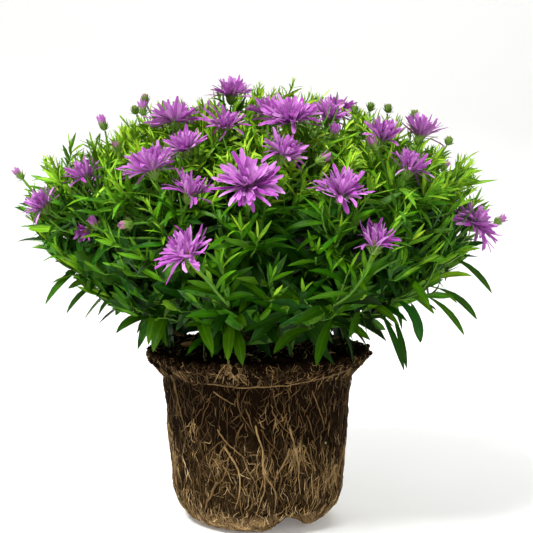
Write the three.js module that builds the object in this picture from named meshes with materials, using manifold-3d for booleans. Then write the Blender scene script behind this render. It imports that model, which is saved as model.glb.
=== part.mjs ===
// A michaelmas daisy in flower on its bare root ball, as knocked out of a 13 cm nursery pot.
// Millimetres, +Z up. The origin is the middle of the root ball's flat underside, and the plant
// is seen in the photograph from -Y, with +X to the right.
import * as THREE from "three";
import { mergeVertices } from "three/addons/utils/BufferGeometryUtils.js";
import Module from "manifold-3d";

const wasm = await Module();
wasm.setup();

// Driving dimensions
const GAP = 0.3; // between pieces that rest on each other
const UP = new THREE.Vector3(0, 0, 1);
const GOLDEN_ANGLE = 137.508; // degrees from one leaf to the next round a stem

const BALL = {
  footRadius: 48, // where the wall would meet the ground without its rounded edge
  edgeRound: 20, // radius of that rounded bottom edge
  shoulderRadius: 53, // top of the tapered wall
  shoulderHeight: 82, // the pot's inner ledge, printed in the compost
  ledge: 1.4, // how far the collar overhangs the wall there
  ledgeRise: 0.6, // height of the ledge's sloping underside
  rimRadius: 62, // widest part of the flared collar
  rimHeight: 95,
  soilHeight: 98, // compost surface in the middle
  rimRound: 3, // worn top edge of the collar
  rimWear: 0.5, // how far that edge has worn back at its middle
  rimCrest: 0.8, // height of the worn edge's inner side above its middle
  soilEdge: 35, // radius where the level surface starts to slope down to the rim
};

// Three slots in the underside, printed by the raised drains of the pot's floor.
const SLOT = {
  azimuths: [-60, 60, 180],
  width: 20,
  depth: 10.5,
  innerRadius: 14,
  length: 40,
  flare: 2.5,
  under: 1, // how far the cutting block reaches below the ball
};

const CROWN = { radius: 25, height: 5, rings: 4, sides: 18 };

// Thick roots that lie on the front of the ball. Each passes a list of places: millimetres to the right
// of the ball's axis as seen from the front, and above its foot.
const LEDGE_ROOT = {
  thick: 1.1,
  route: [
    [-26, 83.6], [-17, 83.3], [-8, 83.3], [2, 83.5], [12, 83.7], [22, 84.5], [34, 86], [43, 87.5], [50, 89.2],
  ],
};
const FACE_ROOTS = [
  { thick: 1.4, route: [[-17, 50], [-12, 42], [-9, 33], [-9, 26], [-12, 16]] },
  { thick: 1.2, route: [[-1, 62], [1, 54], [3, 46], [4, 34]] },
  { thick: 1.2, route: [[17, 60], [20, 49], [22, 37], [23, 23]] },
  { thick: 1.1, route: [[-45, 79], [-43, 71], [-41, 62], [-38, 53]] },
  { thick: 1.4, route: [[-21, 30], [-24, 23], [-28, 12]] },
  { thick: 1.1, route: [[29, 78], [32, 70], [35, 62], [36, 57]] },
];
const ROOT = { sides: 6, offset: 0.7 }; // offset of its middle from the ball, as a share of its thickness

const STEM = {
  thick: 2.3,
  sides: 5,
  steps: 9,
  footRadius: 3.5, // of a shoot that stands straight up; the others stand further out, and lean more
  footSpread: 0.135, // millimetres of foot radius for each millimetre of reach
  leanPerReach: 0.42, // degrees for each millimetre
  rise: 0.42, // share of the length that the foot's own lean carries on for
  pull: 0.34, // share of the length that bends towards the way that the tip faces
};
const STALK = { thick: 1.3, sides: 5, steps: 4, fork: 0.74, rise: 0.5 };
const LEAF = {
  perShoot: 13,
  longest: 44,
  shortest: 16,
  slender: 6.4, // length over width
  thick: 0.9,
  sag: 0.17, // share of the length
  stations: [{ along: 0.36, wide: 1, drop: 0.12 }, { along: 0.72, wide: 0.74, drop: 0.5 }],
  first: 0.2, // share of the stem below the first leaf
  last: 0.95,
  spread: 68, // degrees from the stem, at the first leaf
  closing: 26, // degrees by which the last leaf stands closer
  spreadPlay: 14,
  turnPerShoot: 47, // degrees by which each shoot's leaves start further round
  leastFull: 0.55, // size of a leaf at the end of the full-grown ones, as a share
  sizePlay: 0.24,
};
const CALYX = { radius: 3.1, height: 6.2, neck: 1.5, neckHeight: 0.5, mouth: 0.8, sides: 8 };
const RAY = {
  wide: 3,
  thick: 1.4,
  notch: 0.42, // depth between two rays, as a share of their length
  notchRise: 0.06,
  lengthPlay: 0.14,
  flat: 6, // degrees above the level when the head is fully open
  upright: 84, // and when it's a bud
  steepest: 82,
};
const WHORLS = [
  { count: 13, share: 1, steeper: 0, start: 6 },
  { count: 11, share: 0.86, steeper: 20, start: 14 },
  { count: 8, share: 0.6, steeper: 42, start: 8 },
];
const BUD = { radius: 3, height: 8, sides: 8 };

// Each shoot: the place of its tip, the way that the tip faces (azimuth from +X and lean from upright,
// in degrees), and what it ends in. Most end in a flower head, with the width that it opens to and
// how far it has opened, from 0 to 1. Some carry a side bud on a short stalk. A swing, in degrees,
// moves a foot round the crown, away from a neighbour's.
const SHOOTS = [
  { at: [-49, -98, 195], faces: [170, 18], across: 30, open: 0.66, bud: [-57, -102, 169] },
  { at: [-3, -124, 188], faces: [-86, 34], across: 32, open: 0.84 },
  { at: [-31, -124, 157], faces: [-135, 42], across: 29, open: 0.8 },
  { at: [39, -114, 184], faces: [-80, 22], across: 28, open: 0.68 },
  { at: [55, -112, 161], faces: [-50, 22], across: 25, open: 0.5 },
  { at: [75, -72, 195], faces: [-10, 18], across: 25, open: 0.5, bud: [58, -84, 203] },
  { at: [17, -86, 219], faces: [-90, 26], across: 29, open: 0.8 },
  { at: [13, -105, 202], faces: [-10, 25], across: 26, open: 0.7, bud: [28, -94, 197] },
  { at: [-14, -15, 235], faces: [-60, 6], across: 25, open: 0.6 },
  { at: [-41, -60, 219], faces: [100, 14], across: 27, open: 0.75 },
  { at: [-30, -108, 184], faces: [-40, 25], across: 25, open: 0.55, swing: 7 },
  { at: [-89, -42, 191], faces: [170, 25], across: 26, open: 0.5, bud: [-84, -62, 165] },
  { at: [86, -30, 213], faces: [20, 18], across: 26, open: 0.55 },
  { at: [117, -25, 166], faces: [-15, 50], across: 29, open: 0.9 },
  { at: [-131, -5, 192], faces: [165, 40], ends: "bud" },
  { at: [136, 8, 166], faces: [5, 60], ends: "bud" },
  { at: [-97, -28, 139], faces: [-166, 70], ends: "leaves" },
  { at: [93, -54, 132], faces: [-28, 70], ends: "leaves" },
  { at: [6, 104, 126], faces: [88, 75], ends: "leaves" },
  { at: [-95, 66, 184], faces: [150, 30], across: 29, open: 0.9 },
  { at: [-40, 108, 190], faces: [105, 38], across: 30, open: 0.95 },
  { at: [36, 116, 178], faces: [75, 42], across: 29, open: 0.9 },
  { at: [88, 78, 188], faces: [45, 32], across: 28, open: 0.75 },
  { at: [-30, 50, 225], faces: [110, 15], across: 27, open: 0.8 },
  { at: [46, 34, 228], faces: [30, 12], across: 28, open: 0.85 },
];

const COLOURS = {
  ball: { color: 0x3a2a1c, roughness: 0.95, metalness: 0 },
  root: { color: 0xa8875a, roughness: 0.8, metalness: 0 },
  shoot: { color: 0x4f8a1e, roughness: 0.55, metalness: 0 },
  flower: { color: 0xbb66c8, roughness: 0.6, metalness: 0 },
  bud: { color: 0x8a7a58, roughness: 0.6, metalness: 0 },
};

const radians = THREE.MathUtils.degToRad;
const polar = (radius, azimuth, z) =>
  new THREE.Vector3(radius * Math.cos(radians(azimuth)), radius * Math.sin(radians(azimuth)), z);
// A unit vector that leans from upright towards an azimuth.
const leaning = (azimuth, lean) => polar(Math.sin(radians(lean)), azimuth, Math.cos(radians(lean)));
// A steady number from 0 to 1 that stands in for natural variation.
const wobble = (...seeds) => {
  const mixed = Math.sin(seeds.reduce((sum, s, i) => sum + s * [12.9898, 78.233, 37.719][i], 0.5));
  return mixed * 43758.5453 - Math.floor(mixed * 43758.5453);
};

// Solids and geometries
function toSolid(geometry, matrix = new THREE.Matrix4()) {
  const bare = new THREE.BufferGeometry().setAttribute("position", geometry.getAttribute("position").clone());
  bare.setIndex(geometry.index);
  const merged = mergeVertices(bare.applyMatrix4(matrix), 1e-4);
  return new wasm.Manifold(
    new wasm.Mesh({
      numProp: 3,
      vertProperties: merged.getAttribute("position").array,
      triVerts: new Uint32Array(merged.index.array),
    }),
  );
}

function toGeometry(solid) {
  const mesh = solid.getMesh();
  const geometry = new THREE.BufferGeometry();
  geometry.setAttribute("position", new THREE.BufferAttribute(mesh.vertProperties, 3));
  geometry.setIndex(new THREE.BufferAttribute(mesh.triVerts, 1));
  geometry.computeVertexNormals();
  return geometry;
}

function boxesMeet(a, b) {
  const [p, q] = [a.boundingBox(), b.boundingBox()];
  return [0, 1, 2].every((k) => p.min[k] <= q.max[k] && q.min[k] <= p.max[k]);
}

const isClearOf = (solid, others) =>
  others.every((other) => !boxesMeet(solid, other) || solid.intersect(other).isEmpty());

// Turns local +Z to a direction and moves the origin to a point.
function standing(point, direction) {
  const turn = new THREE.Quaternion().setFromUnitVectors(UP, direction.clone().normalize());
  return new THREE.Matrix4().compose(point, turn, new THREE.Vector3(1, 1, 1));
}

// Root ball: its radius at a height, on the rounded edge, the wall and the flared collar
function ballRadiusAt(z) {
  const { footRadius, edgeRound, shoulderRadius, shoulderHeight, ledge, ledgeRise } = BALL;
  const { rimRadius, rimHeight, rimRound } = BALL;
  if (z < edgeRound) {
    return footRadius - edgeRound + Math.sqrt(Math.max(0, edgeRound ** 2 - (edgeRound - z) ** 2));
  }
  if (z < shoulderHeight) {
    return footRadius + ((shoulderRadius - footRadius) * (z - edgeRound)) / (shoulderHeight - edgeRound);
  }
  const [collarRadius, collarFoot] = [shoulderRadius + ledge, shoulderHeight + ledgeRise];
  const flare = (rimRadius - collarRadius) / (rimHeight - rimRound - collarFoot);
  return collarRadius + flare * (z - collarFoot);
}

function rootBallGeometry() {
  const { footRadius, edgeRound, shoulderRadius, shoulderHeight, ledge, ledgeRise } = BALL;
  const { rimRadius, rimHeight, rimRound, rimWear, rimCrest, soilHeight, soilEdge } = BALL;
  const profile = new THREE.Path();
  profile.moveTo(0, 0);
  profile.lineTo(footRadius - edgeRound, 0);
  profile.absarc(footRadius - edgeRound, edgeRound, edgeRound, -Math.PI / 2, 0, false);
  profile.lineTo(shoulderRadius, shoulderHeight);
  profile.lineTo(shoulderRadius + ledge, shoulderHeight + ledgeRise);
  profile.lineTo(rimRadius, rimHeight - rimRound);
  profile.lineTo(rimRadius - rimWear, rimHeight);
  profile.lineTo(rimRadius - rimRound, rimHeight + rimCrest);
  profile.lineTo(soilEdge, soilHeight);
  profile.lineTo(0, soilHeight);
  const turned = new THREE.LatheGeometry(profile.getPoints(5), 40);
  let ball = toSolid(turned, new THREE.Matrix4().makeRotationX(Math.PI / 2));
  for (const azimuth of SLOT.azimuths) ball = ball.subtract(slotCutter(azimuth));
  return toGeometry(ball);
}

// One drain slot: a tapered block that runs out through the bottom edge of the ball.
function slotCutter(azimuth) {
  const { width, depth, innerRadius, length, flare, under } = SLOT;
  const section = new THREE.Shape([
    new THREE.Vector2(-width / 2 - flare, -under),
    new THREE.Vector2(width / 2 + flare, -under),
    new THREE.Vector2(width / 2, depth),
    new THREE.Vector2(-width / 2, depth),
  ]);
  const bar = new THREE.ExtrudeGeometry(section, { depth: length, bevelEnabled: false });
  const place = new THREE.Matrix4()
    .makeRotationZ(radians(azimuth))
    .multiply(new THREE.Matrix4().makeTranslation(innerRadius, 0, 0))
    .multiply(new THREE.Matrix4().makeBasis(
      new THREE.Vector3(0, 1, 0),
      new THREE.Vector3(0, 0, 1),
      new THREE.Vector3(1, 0, 0),
    ));
  return toSolid(bar, place);
}

// Tubes
function tubeGeometry(curve, thick, sides, steps) {
  const section = new THREE.Shape(
    Array.from({ length: sides }, (_, k) => {
      const turn = (2 * Math.PI * k) / sides;
      return new THREE.Vector2((thick / 2) * Math.cos(turn), (thick / 2) * Math.sin(turn));
    }),
  );
  return new THREE.ExtrudeGeometry(section, { extrudePath: curve, steps, bevelEnabled: false });
}

function rootGeometry({ thick, route }) {
  const points = route.map(([x, z]) => {
    const radius = ballRadiusAt(z) + GAP + ROOT.offset * thick;
    return new THREE.Vector3(x, -Math.sqrt(radius ** 2 - x ** 2), z);
  });
  return tubeGeometry(new THREE.CatmullRomCurve3(points), thick, ROOT.sides, 2 * route.length - 1);
}

// Crown: the low woody knot that the stems rise from.
function crownHeightAt(radius) {
  return BALL.soilHeight + GAP + CROWN.height * Math.sqrt(Math.max(0, 1 - (radius / CROWN.radius) ** 2));
}

function crownGeometry() {
  const low = BALL.soilHeight + GAP;
  const { rings, sides } = CROWN;
  const profile = [new THREE.Vector2(0, low), new THREE.Vector2(CROWN.radius, low)];
  for (let k = rings - 1; k >= 0; k--) {
    const radius = CROWN.radius * Math.sin((Math.PI / 2) * (k / rings));
    profile.push(new THREE.Vector2(radius, crownHeightAt(radius)));
  }
  return new THREE.LatheGeometry(profile, sides).rotateX(Math.PI / 2);
}

// Stems: each foot stands on the crown on its own side, and the curve ends under the head.
function stemCurve(shoot) {
  const head = new THREE.Vector3(...shoot.at);
  const facing = leaning(...shoot.faces);
  const reach = Math.hypot(head.x, head.y);
  const footRadius = STEM.footRadius + STEM.footSpread * reach;
  const bearing = THREE.MathUtils.radToDeg(Math.atan2(head.y, head.x)) + (shoot.swing ?? 0);
  const lean = STEM.leanPerReach * reach;
  const foot = polar(footRadius, bearing, 0);
  foot.z = crownHeightAt(footRadius) + GAP + (STEM.thick / 2) * Math.sin(radians(lean));
  const drop = { bud: BUD.height / 2, leaves: 0 }[shoot.ends] ?? CALYX.height;
  const tip = head.clone().addScaledVector(facing, -drop - GAP);
  const length = foot.distanceTo(tip);
  const rise = leaning(bearing, lean);
  return new THREE.CubicBezierCurve3(
    foot,
    foot.clone().addScaledVector(rise, STEM.rise * length),
    tip.clone().addScaledVector(facing, -STEM.pull * length),
    tip,
  );
}

// A lance-shaped leaf, flat above and keeled below: it starts at the origin, runs along +X and sags.
function leafGeometry(length, width, thick, sag) {
  const points = [[0, 0, 0]];
  for (const { along, wide, drop } of LEAF.stations) {
    const [x, half, z] = [along * length, (wide * width) / 2, -drop * sag];
    points.push([x, half, z], [x, -half, z], [x, 0, z - thick]);
  }
  points.push([length, 0, -sag]);
  const tip = points.length - 1;
  const faces = [];
  for (const [a, b] of [[0, 1], [1, 2], [2, 0]]) {
    faces.push([0, 1 + b, 1 + a], [1 + a, 4 + b, 4 + a], [1 + a, 1 + b, 4 + b], [4 + a, 4 + b, tip]);
  }
  const geometry = new THREE.BufferGeometry();
  geometry.setAttribute("position", new THREE.Float32BufferAttribute(points.flat(), 3));
  return geometry.setIndex(faces.flat());
}

// Where leaf k of a shoot sits: its size, and the matrix from the blade's own frame.
function leafPlace(curve, shootIndex, k) {
  const share = k / (LEAF.perShoot - 1);
  const at = LEAF.first + (LEAF.last - LEAF.first) * share;
  const point = curve.getPointAt(at);
  const along = curve.getTangentAt(at);
  const side = new THREE.Vector3().crossVectors(along, UP).normalize();
  const spin = radians(GOLDEN_ANGLE * k + LEAF.turnPerShoot * shootIndex);
  const outward = side.applyAxisAngle(along, spin);
  const play = LEAF.spreadPlay * (wobble(shootIndex, k, 1) - 0.5);
  const spread = radians(LEAF.spread - LEAF.closing * share + play);
  const run = along.clone().multiplyScalar(Math.cos(spread)).addScaledVector(outward, Math.sin(spread));
  const across = new THREE.Vector3().crossVectors(along, run).normalize();
  const face = new THREE.Vector3().crossVectors(run, across);
  // Leaves are full grown in the middle of the stem, and shorter at its foot and tip
  const fullness = Math.sin(Math.PI * Math.min(1, 0.25 + 0.75 * (1 - share)));
  const full = LEAF.leastFull + (1 - LEAF.leastFull) * fullness;
  const length = THREE.MathUtils.lerp(LEAF.longest * full, LEAF.shortest, share ** 1.5);
  const matrix = new THREE.Matrix4().makeBasis(run, across, face).setPosition(point);
  return { matrix, length: length * (1 + LEAF.sizePlay * (wobble(shootIndex, k, 2) - 0.5)) };
}

// The leaf as a solid, or a slightly swollen one to test for room.
function leafSolid({ matrix, length }, extra = 0) {
  const width = length / LEAF.slender + 2 * extra;
  return toSolid(leafGeometry(length + extra, width, LEAF.thick + 2 * extra, LEAF.sag * length), matrix);
}

// A ring of points round +Z, counter-clockwise; the azimuths are in degrees and rise by 360 in all.
const roundRing = (count, radius, z, start = 0) =>
  Array.from({ length: count }, (_, k) => ({ azimuth: start + (360 * k) / count, radius, z }));

// The outline of one whorl of rays: two corners to each blunt tip, and a notch before the next ray.
function rayRing({ count, length, lift, start, z }) {
  const [run, climb] = [length * Math.cos(radians(lift)), length * Math.sin(radians(lift))];
  const halfTip = Math.min(THREE.MathUtils.radToDeg(RAY.wide / 2 / run), 150 / count);
  return Array.from({ length: count }, (_, k) => {
    const middle = start + (360 * k) / count;
    const out = 1 + RAY.lengthPlay * (wobble(count, k, length) - 0.5);
    const tip = { radius: out * run, z: z + out * climb };
    return [
      { azimuth: middle - halfTip, ...tip },
      { azimuth: middle + halfTip, ...tip },
      { azimuth: middle + 180 / count, radius: RAY.notch * run, z: z + (RAY.notch + RAY.notchRise) * climb },
    ];
  }).flat();
}

// One closed skin: from a pole below, up through the rings in turn, to a pole on top.
function skinGeometry(bottom, rings, top) {
  const points = [[0, 0, bottom]];
  const firsts = rings.map((ring) => {
    const first = points.length;
    points.push(...ring.map(({ azimuth, radius, z }) => polar(radius, azimuth, z).toArray()));
    return first;
  });
  points.push([0, 0, top]);
  const faces = [];
  const corner = (n, k) => firsts[n] + (k % rings[n].length);
  const azimuthOf = (n, k) => rings[n][k % rings[n].length].azimuth + (k >= rings[n].length ? 360 : 0);
  rings[0].forEach((_, k) => faces.push(0, corner(0, k + 1), corner(0, k)));
  for (let n = 0; n + 1 < rings.length; n++) {
    let [i, j] = [0, 0];
    while (i < rings[n].length || j < rings[n + 1].length) {
      const upperIsDone = j === rings[n + 1].length;
      if (upperIsDone || (i < rings[n].length && azimuthOf(n, i + 1) < azimuthOf(n + 1, j + 1))) {
        faces.push(corner(n, i), corner(n, i + 1), corner(n + 1, j));
        i++;
      } else {
        faces.push(corner(n, i), corner(n + 1, j + 1), corner(n + 1, j));
        j++;
      }
    }
  }
  const last = rings.length - 1;
  rings[last].forEach((_, k) => faces.push(corner(last, k), corner(last, k + 1), points.length - 1));
  const geometry = new THREE.BufferGeometry();
  geometry.setAttribute("position", new THREE.Float32BufferAttribute(points.flat(), 3));
  return geometry.setIndex(faces);
}

// Flower head in its own frame: the stem ends at the origin and the head faces +Z. The skin climbs the
// calyx, then runs out along the underside of each whorl of rays and back in over the top of it.
function flowerGeometry({ across, open }) {
  const { radius, height, neck, neckHeight, mouth, sides } = CALYX;
  const rings = [
    roundRing(sides, neck, neckHeight),
    roundRing(sides, radius, 0.5 * height),
    roundRing(sides, mouth * radius, mouth * height),
  ];
  let z = mouth * height;
  WHORLS.forEach(({ count, share, steeper, start }, n) => {
    const lift = Math.min(RAY.steepest, THREE.MathUtils.lerp(RAY.upright, RAY.flat, open) + steeper);
    rings.push(rayRing({ count, length: share * (across / 2 - 0.5), lift, start, z }));
    z += RAY.thick;
    if (n + 1 < WHORLS.length) rings.push(roundRing(9, (0.55 - 0.15 * n) * radius, z));
  });
  return skinGeometry(0, rings, z);
}

function budGeometry() {
  const { radius, height } = BUD;
  const shape = [[0, 0], [0.45, 0.08], [0.95, 0.3], [1, 0.55], [0.7, 0.85], [0, 1]];
  const profile = shape.map(([r, z]) => new THREE.Vector2(r * radius, z * height));
  return new THREE.LatheGeometry(profile, BUD.sides).rotateX(Math.PI / 2);
}

// Assembly
const plant = new THREE.Group();

function addPiece(name, geometry, material, matrix = new THREE.Matrix4()) {
  const mesh = new THREE.Mesh(geometry, new THREE.MeshStandardMaterial(COLOURS[material]));
  mesh.name = name;
  mesh.applyMatrix4(matrix);
  plant.add(mesh);
  return toSolid(geometry, matrix);
}

const numbered = (name, k) => name + "_" + String(k + 1).padStart(2, "0");

const placed = [
  addPiece("root_ball", rootBallGeometry(), "ball"),
  addPiece("crown", crownGeometry(), "root"),
  addPiece("ledge_root", rootGeometry(LEDGE_ROOT), "root"),
  ...FACE_ROOTS.map((root, k) => addPiece(numbered("face_root", k), rootGeometry(root), "root")),
];

// Heads and buds come first, so that the leaves can be kept clear of them.
const curves = SHOOTS.map(stemCurve);
let buds = 0;
let flowers = 0;
SHOOTS.forEach((shoot, k) => {
  const facing = leaning(...shoot.faces);
  const place = standing(curves[k].v3.clone().addScaledVector(facing, GAP), facing);
  if (shoot.ends === "leaves") return;
  placed.push(
    shoot.ends === "bud"
      ? addPiece(numbered("bud", buds++), budGeometry(), "bud", place)
      : addPiece(numbered("flower", flowers++), flowerGeometry(shoot), "flower", place),
  );
});

// Side buds stand on short stalks that leave the stem near its top.
const stalks = SHOOTS.map((shoot, k) => {
  if (!shoot.bud) return null;
  const seat = new THREE.Vector3(...shoot.bud);
  const fork = curves[k].getPointAt(STALK.fork);
  const heading = curves[k].getTangentAt(STALK.fork);
  const bend = fork.clone().addScaledVector(heading, STALK.rise * fork.distanceTo(seat));
  const stalk = new THREE.QuadraticBezierCurve3(fork, bend, seat);
  const facing = stalk.getTangentAt(1);
  const place = standing(seat.clone().addScaledVector(facing, GAP), facing);
  placed.push(addPiece(numbered("bud", buds++), budGeometry(), "bud", place));
  return stalk;
});

const stems = curves.map((curve, k) => {
  const parts = [toSolid(tubeGeometry(curve, STEM.thick, STEM.sides, STEM.steps))];
  if (stalks[k]) parts.push(toSolid(tubeGeometry(stalks[k], STALK.thick, STALK.sides, STALK.steps)));
  return wasm.Manifold.union(parts);
});

// A leaf that would touch another shoot, a head or the compost is left off the shoot.
const shoots = [...stems];
curves.forEach((curve, i) => {
  for (let k = 0; k < LEAF.perShoot; k++) {
    const place = leafPlace(curve, i, k);
    const others = [...placed, ...shoots.filter((_, n) => n !== i)];
    if (isClearOf(leafSolid(place, GAP), others)) shoots[i] = shoots[i].add(leafSolid(place));
  }
});
shoots.forEach((shoot, k) => addPiece(numbered("shoot", k), toGeometry(shoot), "shoot"));

export default plant;
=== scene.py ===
# A michaelmas daisy in flower on its bare root ball, as it comes out of a 13 cm nursery pot.
# Plant sizes are in millimetres and become metres where a mesh is made. +Z is up, -Y is the side
# that the photograph shows, and the origin is the middle of the ball's flat underside.
import math
from functools import partial
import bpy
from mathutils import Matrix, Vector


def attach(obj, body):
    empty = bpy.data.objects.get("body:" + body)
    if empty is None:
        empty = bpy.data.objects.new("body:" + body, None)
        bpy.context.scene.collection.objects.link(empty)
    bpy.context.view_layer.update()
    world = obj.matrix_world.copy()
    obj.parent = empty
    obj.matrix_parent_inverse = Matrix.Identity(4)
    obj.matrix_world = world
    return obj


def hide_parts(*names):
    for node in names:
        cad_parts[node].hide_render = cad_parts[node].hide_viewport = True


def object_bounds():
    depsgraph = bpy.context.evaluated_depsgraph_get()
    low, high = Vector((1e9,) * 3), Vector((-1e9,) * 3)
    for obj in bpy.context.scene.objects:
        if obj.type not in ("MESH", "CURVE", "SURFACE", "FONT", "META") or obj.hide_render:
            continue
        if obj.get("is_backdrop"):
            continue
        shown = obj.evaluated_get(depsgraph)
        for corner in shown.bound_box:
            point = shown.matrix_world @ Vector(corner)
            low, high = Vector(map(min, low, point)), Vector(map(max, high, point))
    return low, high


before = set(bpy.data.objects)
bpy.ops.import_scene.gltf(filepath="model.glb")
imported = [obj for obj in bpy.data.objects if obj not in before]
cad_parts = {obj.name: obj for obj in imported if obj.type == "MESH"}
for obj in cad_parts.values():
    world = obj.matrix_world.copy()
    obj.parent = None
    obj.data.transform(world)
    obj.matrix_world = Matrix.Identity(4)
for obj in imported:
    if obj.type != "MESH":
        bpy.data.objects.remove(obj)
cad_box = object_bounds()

from types import SimpleNamespace as Sizes

import bpy
import numpy as np
from mathutils import Vector, noise

MM = 0.001
UP = np.array([0.0, 0.0, 1.0])
GOLDEN_ANGLE = 137.508
rng = np.random.default_rng(26)

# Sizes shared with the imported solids
GAP = 0.3
BALL = Sizes(foot=48, edge=20, shoulder=53, ledge=82, collar=54.4, rim=62, rim_low=92, rim_top=95, soil=98)
SLOT = Sizes(azimuths=(-60, 60, 180), half_width=10, depth=10.5, inner=14, flare=2.5)
CROWN = Sizes(radius=25, height=5)
STEM_THICK = 2.3
CALYX_HEIGHT = 6.2
BUD_HEIGHT = 8

# The photograph's camera: its place, how far it looks down in degrees, its lens and its sensor
CAMERA = Sizes(place=(4.9, -650, 194), pitch=4.7, lens=79.2, sensor=36)

# Thick roots on the wall that the photograph shows: thickness, tone, and the places that each passes,
# as millimetres right of the ball's axis and above its foot, seen from the front
FRONT_ROOTS = [
    (0.8, 0.53, [(-26, 83), (-18, 82.5), (-8, 82.5), (2, 83), (12, 83), (22, 84), (34, 85.5), (43, 87),
                 (50, 89)]),
    (1.0, 0.64, [(-17, 50), (-15, 46), (-12, 42), (-10, 38), (-9, 33), (-9, 27), (-10, 22), (-12, 16)]),
    (0.7, 0.45, [(-9, 24), (-9, 19), (-8, 13)]),
    (1.4, 0.48, [(-21, 30), (-23, 27), (-24, 23), (-27, 18), (-28, 12)]),
    (0.7, 0.48, [(-15, 41), (-17, 35), (-19, 31), (-22, 28)]),
    (0.6, 0.37, [(-12, 38), (-15, 37), (-17, 34)]),
    (0.7, 0.48, [(-23, 47), (-25, 41), (-25, 37), (-23, 33), (-22, 28)]),
    (0.6, 0.41, [(-21, 43), (-22, 37), (-22, 33), (-21, 29)]),
    (0.6, 0.37, [(-29, 37), (-27, 32), (-22, 29)]),
    (0.7, 0.37, [(-18, 53), (-22, 50), (-25, 46), (-28, 43), (-30, 39), (-31, 34), (-31, 29), (-30, 22)]),
    (0.7, 0.52, [(-21, 59), (-17, 53), (-11, 48), (-7, 45), (-6, 40), (-4, 36), (-1, 32), (0, 27), (0, 20)]),
    (0.6, 0.37, [(-11, 50), (-11, 57), (-8, 62)]),
    (1.0, 0.68, [(-1, 62), (0, 58), (1, 54), (3, 49), (3, 44), (3, 39), (4, 34)]),
    (0.9, 0.6, [(4, 36), (4, 31), (4, 28), (3, 24), (1, 18), (-1, 12)]),
    (0.9, 0.56, [(4, 36), (6, 32), (8, 29), (10, 25), (10, 21), (9, 14)]),
    (0.6, 0.45, [(4, 35), (-1, 32), (-3, 28)]),
    (0.9, 0.63, [(17, 60), (19, 53), (20, 49), (21, 44), (22, 37), (22, 32), (23, 23)]),
    (1.3, 0.6, [(20, 49), (21, 44), (22, 38), (22, 35)]),
    (0.9, 0.56, [(17, 49), (15, 43), (12, 38), (10, 34), (9, 29)]),
    (0.6, 0.45, [(12, 38), (13, 32), (11, 26)]),
    (0.8, 0.48, [(25, 50), (27, 44), (29, 39), (30, 33)]),
    (0.7, 0.45, [(28, 49), (29, 43), (31, 36)]),
    (0.7, 0.41, [(29, 52), (32, 46), (31, 42), (33, 36)]),
    (0.7, 0.37, [(26, 66), (28, 61), (29, 56), (31, 51)]),
    (0.7, 0.45, [(39, 37), (36, 33), (32, 30), (30, 26), (29, 22)]),
    (0.6, 0.37, [(39, 35), (37, 30), (38, 21)]),
    (0.7, 0.41, [(2, 60), (6, 53), (10, 49)]),
    (0.6, 0.37, [(16, 57), (15, 52), (14, 47)]),
    (0.6, 0.37, [(6, 52), (7, 45), (9, 40)]),
    (0.9, 0.45, [(-46, 85), (-44, 77), (-43, 71), (-42, 66), (-40, 60), (-38, 53)]),
    (0.7, 0.37, [(-50, 86), (-47, 83), (-44, 82)]),
    (0.7, 0.56, [(-23, 79), (-18, 76), (-12, 73)]),
    (0.6, 0.37, [(-33, 94), (-31, 91), (-29, 88)]),
    (0.7, 0.63, [(-14, 96), (-17, 94), (-20, 90), (-22, 84)]),
    (0.7, 0.6, [(-14, 96), (-16, 91), (-18, 84)]),
    (0.8, 0.68, [(-15, 96), (-12, 93), (-9, 89), (-5, 84)]),
    (0.7, 0.63, [(-14, 95), (-12, 91), (-12, 84)]),
    (0.7, 0.41, [(-10, 80), (-10, 73), (-8, 67), (-5, 63), (-2, 58)]),
    (0.7, 0.45, [(-6, 71), (-4, 66), (-3, 62), (-1, 57)]),
    (0.7, 0.37, [(-7, 63), (-10, 58), (-10, 53)]),
    (0.7, 0.45, [(29, 79), (31, 73), (33, 67), (35, 62), (36, 57)]),
    (0.7, 0.45, [(8, 69), (11, 64), (14, 60), (18, 56)]),
    (0.7, 0.37, [(8, 82), (9, 77), (10, 71), (14, 65), (18, 60)]),
    (0.7, 0.37, [(22, 66), (22, 60), (18, 57)]),
    (0.7, 0.37, [(35, 72), (37, 67), (37, 61)]),
    (0.7, 0.37, [(16, 82), (17, 74)]),
]
# Tufts of fine golden roots on the front: place, number of roots, spread in degrees and length
ROOT_TUFTS = [(22, 48, 44, 14, 16), (38, 35, 40, 25, 10), (3, 40, 30, 14, 13), (-13, 94, 45, 60, 11),
              (-20, 44, 30, 50, 9), (9, 66, 16, 40, 10), (-34, 60, 16, 30, 10), (30, 30, 24, 16, 12)]
# Knots that roots fan out of, all round the ball: azimuth, height, number of roots, spread and length
FANS = [(-158, 40, 10, 35, 24), (-30, 34, 9, 35, 20), (-12, 45, 10, 40, 26), (14, 36, 12, 40, 24),
        (38, 58, 10, 35, 30), (66, 34, 12, 40, 22), (92, 50, 11, 38, 28), (120, 32, 13, 40, 24),
        (146, 54, 10, 35, 30), (172, 36, 12, 40, 24), (-172, 60, 8, 35, 26), (108, 88, 12, 50, 18),
        (30, 88, 9, 45, 18), (-170, 90, 9, 45, 18)]
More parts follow.
